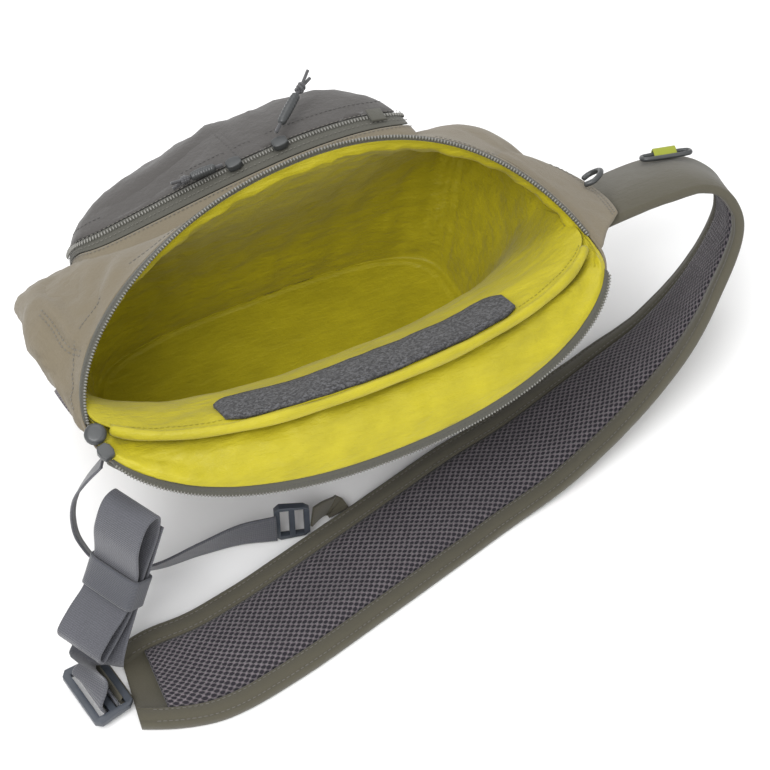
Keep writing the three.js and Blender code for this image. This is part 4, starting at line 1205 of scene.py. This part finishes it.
def face_depth(scale):
    """The share of the pocket's depth where its face lies."""
    return BAND_END + (1 - BAND_END) * (crown(scale) - crown(FACE_EDGE)) / (1 - crown(FACE_EDGE))


def pocket_ring(scale, depth, added, count=150):
    """A ring of the pocket."""
    return [pocket_point(i / count, scale, depth, added) for i in range(count)]


def make_pocket():
    """The zipped front pocket: gusset, zip band, face, sliders, pulls and tab."""
    look = bpy.context.scene.sling_bag
    inset = 1 - 2 * POCKET_WALL / POCKET_LENGTH
    walls = (
        ("pocket_gusset", "canvas", shares(0, GUSSET_SHARE, 7), GUSSET_FOOT, 1.0),
        ("pocket_zip_band", "trim", shares(GUSSET_SHARE, BAND_END, 8), CLEARANCE, 0.985),
    )
    for name, slot, depths, seat, scale in walls:
        outer = []
        inner = []
        for i, depth in enumerate(depths):
            t = i / (len(depths) - 1)
            size = mix(1.0, scale, t)
            puff = 0.004 * math.sin(math.pi * t)
            foot = seat * (1 - t)
            outer.append(pocket_ring(size + puff, depth, foot))
            inner.append(pocket_ring(size * inset**2, depth, foot))
        piece = wall(name + "_look", outer, inner, closed=True)
        settle(piece, [subdivided(1)])
        dress(piece, finishes()[slot], slot, name)
    outer = []
    inner = []
    for scale in FACE_SCALES:
        ring = pocket_ring(scale, face_depth(scale), FACE_SEAT)
        back = pocket_ring(scale * inset, face_depth(scale), FACE_SEAT - POCKET_WALL)
        for point, behind in zip(ring, back):
            amount = 1.5 * rumple(point, 38, 8.8) + 0.8 * rumple(point, 13, 2.4) - 0.6
            moved = POCKET_AXIS * (look.folds * amount * (1 - smooth(scale, 0.86, 0.97)))
            point += moved
            behind += moved
        outer.append(ring)
        inner.append(back)
    face = wall("pocket_face_look", outer, inner, closed=True, base=True)
    draw_folds(face, POCKET_FOLDS, 16)
    dress(face, finishes()["pocket"], "pocket_cloth", "pocket_face")
    tree = tree_of(face)
    edge = []
    for share in shares(-0.02, 0.36, 120):
        at = pocket_point(share, FACE_SEAM, face_depth(FACE_SEAM), FACE_SEAT)
        hit, normal, _index, _distance = tree.find_nearest(at)
        edge.append((hit + normal * 0.25, normal))
    seam = on_piece(tree, ((215, 135), (226, 145), (238, 157)), 14, 0.2)
    dark = finishes()["dark_thread"]
    stitches("pocket_stitches", [edge, seam], "pocket_cloth", 2.8, 0.55, dark)
    make_pocket_zip()
    for node in ("pocket_slider_left", "pocket_slider_right"):
        refined(node, finishes()["dark_plastic"], "plastic", 0.8)
    refined("pocket_tab", finishes()["trim"], "webbing", 0.5)
    make_pulls()


POCKET_FOLDS = (
    (((214, 134), (226, 146), (240, 160)), 2.4, 3.2),
    (((212, 135), (180, 165), (150, 190), (110, 215)), 4.0, 3.4),
    (((205, 128), (170, 158), (135, 182), (95, 205)), 5.0, -1.6),
    (((370, 105), (340, 125), (315, 140), (290, 152)), 4.5, 3.0),
    (((385, 100), (350, 118), (310, 132)), 4.0, -1.4),
    (((240, 132), (262, 140), (285, 148)), 4.0, 1.4),
    (((75, 208), (95, 212), (120, 208)), 4.0, 1.6),
)


def pocket_zip_line(depth, start=-0.05, end=0.42, count=150):
    """Points and facings along the pocket's zip."""
    line = []
    for share in shares(start, end, count):
        at = pocket_point(share, 1.0, depth)
        along = (pocket_point(share + 0.004, 1.0, depth) - at).normalized()
        out = along.cross(POCKET_AXIS).normalized()
        middle = pocket_point(share, 0.9, depth)
        if out.dot(at - middle) < 0:
            out.negate()
        line.append((at + out * 0.7, out))
    return line


def make_pocket_zip():
    """The coil of the pocket's zip, and the two rows of stitches beside it."""
    look = bpy.context.scene.sling_bag
    coil = pocket_zip_line(ZIP_DEPTH)
    size = (look.tooth_pitch * 0.62, 3.4, 1.3)
    teeth = finishes()["coil"]
    beads("pocket_zip_teeth", [coil], look.tooth_pitch, size, teeth, "trim", uneven=0.02)
    sewn = [pocket_zip_line(GUSSET_SHARE + share * BAND_SHARE) for share in (0.35, 1.0)]
    sewn.append(pocket_zip_line(GUSSET_SHARE * 0.8))
    stitches("pocket_zip_stitches", sewn, "trim", 2.7, 0.55)


def zip_frame(x):
    """The frame on the pocket's zip at a distance along the bag, as in the CAD model."""
    left, right = 0.0, 5 / 16
    for _step in range(20):
        middle = (left + right) / 2
        if pocket_point(middle, 1, 0).x < x:
            left = middle
        else:
            right = middle
    at = pocket_point(left, 1, ZIP_DEPTH)
    along = (pocket_point(left + 0.01, 1, ZIP_DEPTH) - at).normalized()
    return at, along, along.cross(POCKET_AXIS).normalized()


PULL_PATHS = {
    "pocket_pull_left": (-11, ((-6, 1, 4.6), (-14, 2, 5), (-24, 2.6, 5.4), (-36, 2.8, 5.6))),
    "pocket_pull_right": (17, ((1, 6, 6), (9, 12, 9), (19, 20, 12), (28, 27, 14), (36, 34, 15))),
}


def make_pulls():
    """The two zip pulls: a molded tube on a knotted cord."""
    for name, (slider, path) in PULL_PATHS.items():
        at_slider, _along, up = zip_frame(slider)
        points = []
        for along, out, rise in path:
            near = zip_frame(slider + along)[0] if out <= 4 else at_slider + Vector((along, 0, 0))
            points.append(near + POCKET_AXIS * out + up * rise)
        frames = frames_turning(spaced(points, 90))

        def tube(t):
            radius = 2.5 + 0.35 * math.sin(t * math.pi) + 0.12 * math.sin(t * 60)
            return circle(radius * smooth(t, -0.08, 0.08) * (1 - smooth(t, 0.94, 1.1)), 14)

        body = sweep(name + "_look", frames[12:56], tube)
        dress(body, finishes()["dark_plastic"], "trim", name)
        cord = sweep(name + "_cord", frames[:72], lambda t: circle(1.15, 10))
        dress(cord, finishes()["cord"], "trim")
        knotted = frames[60:72]
        spans = len(knotted) - 1
        turns = []
        for t in shares(0, 1, 61):
            n = int(t * spans)
            at, across, lift, _along = knotted[n]
            spot = at.lerp(knotted[min(spans, n + 1)][0], t * spans - n)
            angle = TAU * 2.5 * t
            turns.append(spot + (across * math.cos(angle) + lift * math.sin(angle)) * 1.7)
        knot = sweep(name + "_knot", frames_turning(turns), lambda t: circle(1.05, 8))
        dress(knot, finishes()["cord"], "trim")
        loose = frames[70:]
        for n, side in enumerate((-1, 1)):
            tail = [
                at + across * side * (0.8 + 2.2 * t) + lift * (0.5 * side * t)
                for t, (at, across, lift, _along) in zip(shares(0, 1, len(loose)), loose)
            ]
            end = sweep(f"{name}_end_{n}", frames_turning(tail), lambda t: circle(1.0, 8))
            dress(end, finishes()["cord"], "trim")


# Back panel


BACK_FOOT = 2
BACK_TOP = 6.5
BINDING_FOOT = 6.42
BINDING_SEAM = 6.55


def back_grid(columns, levels, depth):
    """A grid over the back wall."""
    return [
        [under(column_angle(c), level, depth(back_share(c), level)) for c in columns]
        for level in levels
    ]


def make_back_panel():
    """The padded mesh outside the back wall, and its bound edge under the rim."""
    columns = shares(HALF_ROUND + 2, ROUND - 2, 110)
    levels = shares(BACK_FOOT, BACK_TOP, 46)

    def outer(share, level):
        ends = min(share * 12 - 0.9, 11.1 - share * 12)
        edge = min(1, (level - BACK_FOOT) / 0.9, (BACK_TOP - level) / 0.5, ends)
        swell = mix(0.35, 1, smooth(max(0, edge), 0, 1))
        return -CLEARANCE - swell * 5 - 0.5 * max(0, edge) * math.sin(20 * share)

    pad = wall(
        "back_panel_mesh_look",
        back_grid(columns, levels, lambda share, level: -0.1),
        back_grid(columns, levels, outer),
    )
    dress(pad, finishes()["mesh"], "mesh", "back_panel_mesh")
    binding_levels = shares(BINDING_FOOT, LAST, 10)

    def roll(_share, level):
        t = (level - BINDING_FOOT) / (LAST - BINDING_FOOT)
        return -0.4 - 2.3 * math.sin(math.pi * min(1, max(0, mix(0.12, 0.95, t)))) ** 0.6

    binding = wall(
        "back_panel_binding_look",
        back_grid(columns, binding_levels, lambda share, level: 0.1),
        back_grid(columns, binding_levels, roll),
    )
    dress(binding, finishes()["trim"], "trim", "back_panel_binding")
    line = []
    for column in columns[1:-1]:
        angle = column_angle(column)
        top = under(angle, BINDING_SEAM, roll(0, BINDING_SEAM) - 0.2)
        line.append((top, outward(angle, BINDING_SEAM)))
    stitches("binding_stitches", [line], "trim", 2.8, 0.55, finishes()["dark_thread"])


# Shoulder strap

STRAP_ROUTE = (
    (-0.66, -0.668, 0, -98, 0), (-0.505, -0.69, 0, -84, 0), (-0.357, -0.672, 0, -78, 0),
    (-0.14, -0.622, 0, -77, 0), (0.076, -0.569, 0, -78, 0), (0.22, -0.534, 0.001, -78.5, 0.5),
    (0.365, -0.51, 0.018, -78, 5), (0.508, -0.475, 0.044, -77.5, 12),
    (0.648, -0.437, 0.08, -80, 21.5), (0.785, -0.4, 0.143, -89.5, 32.5),
    (0.903, -0.356, 0.257, -105, 35.5), (0.99, -0.309, 0.418, -114, 31),
    (1.0, -0.276, 0.508, -113, 29.5), (0.969, -0.24, 0.578, -108.5, 31),
    (0.912, -0.212, 0.611, -105.5, 31), (0.844, -0.197, 0.606, -106, 29.5),
    (0.735, -0.182, 0.574, -111, 28), (0.655, -0.172, 0.535, -114, 27),
)
SIDE_ROUTE = (
    (-0.568, -0.4, 0.64, -112, 36), (-0.605, -0.39, 0.56, -112, 42),
    (-0.632, -0.38, 0.47, -112, 48), (-0.645, -0.38, 0.37, -112, 50),
    (-0.642, -0.39, 0.26, -112, 52), (-0.605, -0.42, 0.14, -112, 56),
    (-0.515, -0.44, 0.078, -112, 62), (-0.4, -0.44, 0.07, -112, 74),
    (-0.31, -0.445, 0.072, -112, 88), (-0.232, -0.468, 0.078, -112, 98),
)


def band_frames(route, stations):
    """Frames of a band laid along a route, as in the CAD model."""
    middle = []
    edge = []
    for reach, side, rise, facing, tilt in route:
        middle.append(Vector((reach * STRAP_REACH, side * STRAP_SIDE, rise * BAG_HEIGHT)))
        facing, tilt = math.radians(facing), math.radians(tilt)
        level = math.cos(tilt)
        edge.append(Vector((math.cos(facing) * level, math.sin(facing) * level, math.sin(tilt))))
    middle_curve = knots_curve(middle)
    edge_curve = knots_curve(edge)
    frames = []
    for t in stations:
        across = edge_curve(t).normalized()
        ahead = min(1, t + 0.0005)
        behind = max(0, t - 0.0005)
        along = (middle_curve(ahead) - middle_curve(behind)).normalized()
        frames.append((middle_curve(t), across, across.cross(along).normalized(), along))
    return frames


STRAP_RUN = 520
PAD_END = 1 / 47
BORDER_SIZE = 24
BORDER_SEEDS = {1: 1.0, -1: 5.0}


def half_strap(t):
    """Half the strap's width; it narrows a little to its free end."""
    return STRAP_WIDTH / 2 * (1 - 0.25 * max(0, 1 - t / 0.06) ** 2)


def border_lift(t, side):
    """How much the padding lifts one border of the strap."""
    return 0.5 * rumple(Vector((t * STRAP_RUN, 0, 0)), BORDER_SIZE, BORDER_SEEDS[side])


def make_strap():
    """The wide padded strap, its mesh face, its stitched borders and the wing at its root."""
    stations = shares(0, 1, 250)
    frames = band_frames(STRAP_ROUTE, stations)

    def cloth_section(t):
        w = half_strap(t)
        inner = w - STRAP_EDGE

        def border(lift):
            h = EDGE_HEIGHT + lift
            return [
                (w - 1.2, 0), (w - 0.3, 0.9), (w, h * 0.45), (w - 0.2, h * 0.72),
                (w - 1.0, h * 0.93), (w - 2.4, h * 0.98), (w - 3.1, h * 0.9),
                (w - 4.2, h * 1.02), (w - 7.0, h * 1.06),
                (inner + 2.4, h * 1.02), (inner + 1.6, h * 0.92), (inner + 0.7, h * 0.98),
                (inner, h * 0.86), (inner - 0.1, STRAP_CLOTH + 0.8), (inner - 0.6, STRAP_CLOTH),
            ]

        far = border(border_lift(t, -1))
        return border(border_lift(t, 1)) + [(-a, b) for a, b in reversed(far)]

    cloth = sweep("strap_cloth_look", frames, cloth_section)
    dress(cloth, finishes()["strap"], "strap_cloth", "strap_cloth")

    def pad_section(t):
        w = half_strap(mix(PAD_END, 1 - PAD_END, t)) - STRAP_EDGE - 0.15
        foot = STRAP_CLOTH + 0.3
        puff = 0.35 * rumple(Vector((t * STRAP_RUN, 0, 40)), 34, 2.0)
        top = []
        for n in range(21):
            x = mix(1, -1, n / 20)
            top.append((x * w, EDGE_HEIGHT - 1.4 + (3.0 + puff) * (1 - abs(x) ** 4) ** 0.5))
        return [(-w, foot), (w, foot)] + top

    pad_frames = band_frames(STRAP_ROUTE, shares(PAD_END, 1 - PAD_END, 240))
    pad = sweep("strap_mesh_pad_look", pad_frames, pad_section)
    dress(pad, finishes()["mesh"], "mesh", "strap_mesh_pad")

    lines = []
    for side in (-1, 1):
        for inset, height in ((3.0, 0.93), (STRAP_EDGE - 1.6, 0.97)):
            line = []
            for t, (at, across, up, _along) in zip(stations, frames):
                h = (EDGE_HEIGHT + border_lift(t, side)) * height
                line.append((at + across * side * (half_strap(t) - inset) + up * h, up))
            lines.append(line[3:-3])
    stitches("strap_stitches", lines, "strap_cloth", 3.1, 0.6)
    make_wing()


def make_wing():
    """The bag's end cloth that lies from the rim over the strap's root."""
    at_end, across_end, up_end, _along = band_frames(STRAP_ROUTE, [0.945])[0]

    def point(across, along, drop):
        angle = math.radians(mix(-3, 38, across))
        level = mix(6.75, 6.1, across)
        start = under(angle, level, 0.6 - 1.4 * smooth(along, 0, 0.15))
        end = at_end + across_end * mix(STRAP_WIDTH / 2 + 1, -STRAP_WIDTH / 3, across)
        end -= up_end * 3.0
        end = end.lerp(start, 0.42 * across**2)
        bulge = under(angle, level - 1.4, -5)
        middle = start.lerp(end, 0.5).lerp(bulge, 0.42)
        at = start.lerp(middle, along).lerp(middle.lerp(end, along), along)
        free = math.sin(math.pi * min(1, along + 0.1)) ** 0.5
        at -= up_end * 1.3 * free * rumple(at, 22, 3.3)
        return at + up_end * drop

    def grid(drop):
        return [[point(a, t, drop) for a in shares(0, 1, 46)] for t in shares(0, 1, 30)]

    wing = wall("strap_wing_look", grid(0.0), grid(2.2))
    settle(wing, [subdivided(1)])
    dress(wing, finishes()["canvas"], "canvas", "strap_wing")
    tree = tree_of(wing)
    lines = []
    for along in (0.93, 0.86):
        line = [tree.find_nearest(point(a, along, -1.0))[0] for a in shares(0.04, 0.94, 30)]
        lines.append([(hit - up_end * 0.25, -up_end) for hit in line])
    stitches("wing_stitches", lines, "canvas", 2.9, 0.6)


# Webbing


def slant(degrees, heading=207):
    """A direction in the slanting plane of the main webbing."""
    tilt, heading = math.radians(degrees), math.radians(heading)
    flat = math.cos(tilt)
    return Vector((math.cos(heading) * flat, math.sin(heading) * flat, -math.sin(tilt)))


WEBBING_DOWN = slant(58)
WEBBING_OUT = slant(58 - 90)
WEBBING_ACROSS = WEBBING_DOWN.cross(WEBBING_OUT).normalized()
WEBBING_START = Vector((-0.46 * BAG_LENGTH, -0.904 * BAG_DEPTH, 0.541 * BAG_HEIGHT))
BUCKLE_BAR = Vector((-0.622 * BAG_LENGTH, -1.161 * BAG_DEPTH, BAR_TURN + 2.2))
BUCKLE_ACROSS = Vector((math.cos(math.radians(-81)), math.sin(math.radians(-81)), 0))
BUCKLE_ALONG = Vector((-BUCKLE_ACROSS.y, BUCKLE_ACROSS.x, -math.tan(math.radians(1)))).normalized()
BUCKLE_UP = BUCKLE_ACROSS.cross(BUCKLE_ALONG).normalized()
TAIL_PATH = (
    (-1, 3.2), (-14, 3.4), (-38, 3.2), (-49, 8), (-46, 16), (-30, 17), (-11, 9.2), (0, 8.8),
    (11, 9.2), (24, 17), (36, 21), (41, 16), (33, 11), (14, 4.2), (3.5, 3.2),
)


def on_webbing(down, out):
    """A point in the slanting plane of the main webbing."""
    return WEBBING_START + WEBBING_DOWN * down + WEBBING_OUT * out


def on_buckle(along, up):
    """A point in the buckle's own frame."""
    return BUCKLE_BAR + BUCKLE_ALONG * along + BUCKLE_UP * up


def round_bar(along, radius, start, end):
    """Points round a bar of the buckle."""
    return [
        on_buckle(along + radius * math.cos(a), radius * math.sin(a))
        for a in shares(math.radians(start), math.radians(end), 6)
    ]


def make_webbing():
    """The adjusting webbing, its folded tail and keeper, the buckles and their tabs."""
    run = [
        on_webbing(0, 0),
        on_webbing(WEBBING_RUN * 0.25, -0.8),
        on_webbing(WEBBING_RUN * 0.4, -1),
        on_webbing(WEBBING_RUN * 0.56, -0.8),
        on_webbing(WEBBING_RUN * 0.8, 1).lerp(on_buckle(0, 19), 0.5),
        on_buckle(-BAR_TURN - 1.6, 6),
        *round_bar(0, BAR_TURN, 180, 360),
        on_buckle(BAR_TURN - 1, 5),
    ]
    section = band_section(WEBBING_WIDTH, WEBBING_THICKNESS)
    line = spaced(run, 120)
    frames = frames_turning(line, WEBBING_ACROSS, BUCKLE_ACROSS, 0.56, 0.84)
    piece = sweep("main_webbing_look", frames, lambda t: section, floor=0.1)
    dress(piece, finishes()["webbing"], "webbing", "main_webbing")

    points = [on_webbing(KEEPER_AT + down, out) for down, out in TAIL_PATH]
    frames = frames_turning(spaced(points, 150), WEBBING_ACROSS, WEBBING_ACROSS)
    piece = sweep("webbing_tail_look", frames, lambda t: section)
    dress(piece, finishes()["webbing"], "webbing", "webbing_tail")

    def keeper(added, count=40):
        rows = []
        for down in shares(KEEPER_AT - 9, KEEPER_AT + 9, 12):
            row = []
            narrow = 0.3 * math.cos((down - KEEPER_AT) / 9 * math.pi / 2)
            for i in range(count):
                angle = TAU * i / count
                c, s = math.cos(angle), math.sin(angle)
                k = (abs(c) ** 7 + abs(s) ** 7) ** (-1 / 7)
                a = k * c * (WEBBING_WIDTH / 2 + 0.6 + added)
                out = 3.6 + k * s * (7.0 + added - narrow)
                row.append(on_webbing(down, out) + WEBBING_ACROSS * a)
            rows.append(row)
        return rows

    piece = wall("webbing_keeper_look", keeper(1.2), keeper(0.1), closed=True)
    dress(piece, finishes()["elastic"], "trim", "webbing_keeper")

    side_section = band_section(20, 1.6)
    side = band_frames(SIDE_ROUTE, shares(0, 1, 110))
    piece = sweep("side_webbing_look", side, lambda t: side_section)
    dress(piece, finishes()["webbing"], "webbing", "side_webbing")

    refined("strap_buckle", finishes()["plastic"], "plastic", 0.9)
    refined("side_buckle", finishes()["plastic"], "plastic", 0.7)
    refined("strap_end_tab", finishes()["strap"], "strap_cloth", 0.4, 1, 50)
    refined("side_buckle_tab", finishes()["strap"], "strap_cloth", 0.4, 1, 50)
    box = [[(down, x) for x in shares(-12, 12, 12)] for down in (2, 9)]
    box += [[(down, x) for down in shares(2, 9, 6)] for x in (-12, 12)]
    lines = [
        [(on_webbing(down, 0.85) + WEBBING_ACROSS * x, WEBBING_OUT) for down, x in side]
        for side in box
    ]
    stitches("webbing_stitches", lines, "webbing", 2.4, 0.6)


def make_fittings():
    """The molded loop on the wing, and the tool ring with its tape on the strap."""
    refined("gear_loop", finishes()["dark_plastic"], "plastic", 0, 1, 80)
    refined("tool_dock", finishes()["dark_plastic"], "plastic", 0, 1, 80)
    refined("dock_tab", finishes()["accent"], "accent", 0.4, 1, 50)


# Stage


FLOOR_HALF = 6
FLOOR_Z = -0.0003
LIGHT_AIM = Vector((0, -0.03, 0.05))
# Name, place, size in metres and share of the key light's power
LIGHTS = (
    ("key light", (-0.9, -0.7, 1.6), 1.1, 1.0),
    ("top light", (0.1, 0.7, 1.7), 1.4, 0.45),
    ("front light", (0.3, -1.6, 1.0), 1.2, 0.25),
)


def aimed(thing, at, aim):
    """Puts a light or the camera in its place, looking at a point; both in metres."""
    thing.location = at
    thing.rotation_euler = (aim - at).to_track_quat("-Z", "Y").to_euler()
    return thing


def make_stage():
    """The pale floor, the soft lights and the camera at the photograph's angle."""
    look = bpy.context.scene.sling_bag
    mesh = bpy.data.meshes.new("floor")
    half = FLOOR_HALF
    corners = [(x, y, FLOOR_Z) for x, y in ((-half, -half), (half, -half), (half, half), (-half, half))]
    mesh.from_pydata(corners, [], [(0, 1, 2, 3)])
    floor = placed("floor", mesh)
    made = Finish("pale floor", 0.9, Specular_IOR_Level=0.1)
    at = made.place("Object")
    patches = made.ramp(made.speckle(at, 400, 2), 0.3, 0.7)
    tone = made.blend(patches, (0.86, 0.86, 0.86, 1), (0.88, 0.88, 0.88, 1))
    mesh.materials.append(made.done(tone))

    world = bpy.data.worlds.new("studio")
    bpy.context.scene.world = world
    world.use_nodes = True
    background = world.node_tree.nodes["Background"]
    background.inputs["Color"].default_value = (1.0, 1.0, 1.0, 1.0)
    background.inputs["Strength"].default_value = look.fill
    for name, at, size, power in LIGHTS:
        data = bpy.data.lights.new(name, "AREA")
        data.size = size
        data.energy = look.key * power
        aimed(placed(name, data), Vector(at), LIGHT_AIM)

    data = bpy.data.cameras.new("camera")
    data.lens = LENS
    data.sensor_width = SENSOR
    camera = aimed(placed("camera", data), CAMERA_AT * MM, CAMERA_AIM * MM)
    bpy.context.scene.camera = camera
    bpy.context.scene.view_settings.view_transform = "Standard"


# The sizes and colours that a user would change


def colour_setting(name, description, red, green, blue):
    """A colour that a user may change, its default in screen values."""
    return bpy.props.FloatVectorProperty(
        name=name, description=description, subtype="COLOR", size=3,
        default=srgb(red, green, blue)[:3], min=0, max=1,
    )


class SlingBagSettings(bpy.types.PropertyGroup):
    """Sizes, colours and light of the sling bag."""

    folds: bpy.props.FloatProperty(
        name="Body Folds", description="Height of the soft folds in the outer cloth, in mm",
        default=2.6, min=0, max=5,
    )
    lining_folds: bpy.props.FloatProperty(
        name="Lining Folds", description="Height of the folds in the lining, in mm",
        default=2.3, min=0, max=4,
    )
    mesh_pitch: bpy.props.FloatProperty(
        name="Mesh Pitch", description="Distance between holes of the spacer mesh, in mm",
        default=3.6, min=1, max=10,
    )
    tooth_pitch: bpy.props.FloatProperty(
        name="Tooth Pitch", description="Distance between teeth of the zips, in mm",
        default=1.8, min=1, max=5,
    )
    canvas: colour_setting("Body Cloth", "Colour of the outer cloth", 126, 116, 96)
    lining: colour_setting("Lining", "Colour of the lining", 170, 159, 26)
    pocket: colour_setting("Pocket Cloth", "Colour of the front pocket's face", 80, 77, 75)
    strap: colour_setting("Strap Cloth", "Colour of the strap's borders", 88, 84, 70)
    webbing: colour_setting("Webbing", "Colour of the webbing", 84, 85, 92)
    key: bpy.props.FloatProperty(
        name="Key Light", description="Power of the main light", unit="POWER",
        default=26, min=0, max=500,
    )
    fill: bpy.props.FloatProperty(
        name="Fill Light", description="Strength of the light from all round",
        default=0.85, min=0, max=5,
    )


class PieceOperator:
    """What the operators share: each one builds its pieces."""

    bl_options = {"REGISTER", "UNDO"}
    build = None

    def execute(self, context):
        """Builds the pieces."""
        type(self).build()
        return {"FINISHED"}


class SLINGBAG_OT_stage(PieceOperator, bpy.types.Operator):
    """Make the floor, the lights and the camera"""

    bl_idname = "sling_bag.stage"
    bl_label = "Make Stage"
    build = staticmethod(make_stage)


class SLINGBAG_OT_body(PieceOperator, bpy.types.Operator):
    """Make the tan cloth body with its folds and seams"""

    bl_idname = "sling_bag.body"
    bl_label = "Make Body"
    build = staticmethod(make_body)


class SLINGBAG_OT_lining(PieceOperator, bpy.types.Operator):
    """Make the lining, its slip pocket, hem and loop tape"""

    bl_idname = "sling_bag.lining"
    bl_label = "Make Lining"
    build = staticmethod(make_lining)


class SLINGBAG_OT_zips(PieceOperator, bpy.types.Operator):
    """Make the zip round the mouth"""

    bl_idname = "sling_bag.zips"
    bl_label = "Make Main Zip"
    build = staticmethod(make_zips)


class SLINGBAG_OT_pocket(PieceOperator, bpy.types.Operator):
    """Make the front pocket with its zip and pulls"""

    bl_idname = "sling_bag.pocket"
    bl_label = "Make Front Pocket"
    build = staticmethod(make_pocket)


class SLINGBAG_OT_back_panel(PieceOperator, bpy.types.Operator):
    """Make the mesh panel and binding on the back"""

    bl_idname = "sling_bag.back_panel"
    bl_label = "Make Back Panel"
    build = staticmethod(make_back_panel)


class SLINGBAG_OT_strap(PieceOperator, bpy.types.Operator):
    """Make the padded shoulder strap and the wing at its root"""

    bl_idname = "sling_bag.strap"
    bl_label = "Make Strap"
    build = staticmethod(make_strap)


class SLINGBAG_OT_webbing(PieceOperator, bpy.types.Operator):
    """Make the webbing, its keeper, buckles and tabs"""

    bl_idname = "sling_bag.webbing"
    bl_label = "Make Webbing"
    build = staticmethod(make_webbing)


class SLINGBAG_OT_fittings(PieceOperator, bpy.types.Operator):
    """Make the gear loop and the tool ring"""

    bl_idname = "sling_bag.fittings"
    bl_label = "Make Fittings"
    build = staticmethod(make_fittings)


OPERATORS = (
    SLINGBAG_OT_stage,
    SLINGBAG_OT_body,
    SLINGBAG_OT_lining,
    SLINGBAG_OT_zips,
    SLINGBAG_OT_pocket,
    SLINGBAG_OT_back_panel,
    SLINGBAG_OT_strap,
    SLINGBAG_OT_webbing,
    SLINGBAG_OT_fittings,
)


class SLINGBAG_PT_panel(bpy.types.Panel):
    """Lists the settings and the pieces of the sling bag"""

    bl_idname = "SLINGBAG_PT_panel"
    bl_label = "Sling Bag"
    bl_space_type = "VIEW_3D"
    bl_region_type = "UI"
    bl_category = "Sling Bag"

    def draw(self, context):
        """Draws the settings above one button for each group of pieces."""
        for name in SlingBagSettings.__annotations__:
            self.layout.prop(context.scene.sling_bag, name)
        for operator in OPERATORS:
            self.layout.operator(operator.bl_idname)


CLASSES = (SlingBagSettings, *OPERATORS, SLINGBAG_PT_panel)


def register():
    """Registers the classes and the settings."""
    for cls in CLASSES:
        bpy.utils.register_class(cls)
    bpy.types.Scene.sling_bag = bpy.props.PointerProperty(type=SlingBagSettings)


def unregister():
    """Removes the settings and the classes."""
    del bpy.types.Scene.sling_bag
    for cls in reversed(CLASSES):
        bpy.utils.unregister_class(cls)


def main():
    """Builds the whole bag."""
    register()
    for operator in OPERATORS:
        group, name = operator.bl_idname.split(".")
        getattr(getattr(bpy.ops, group), name)()


if __name__ == "__main__":
    main()
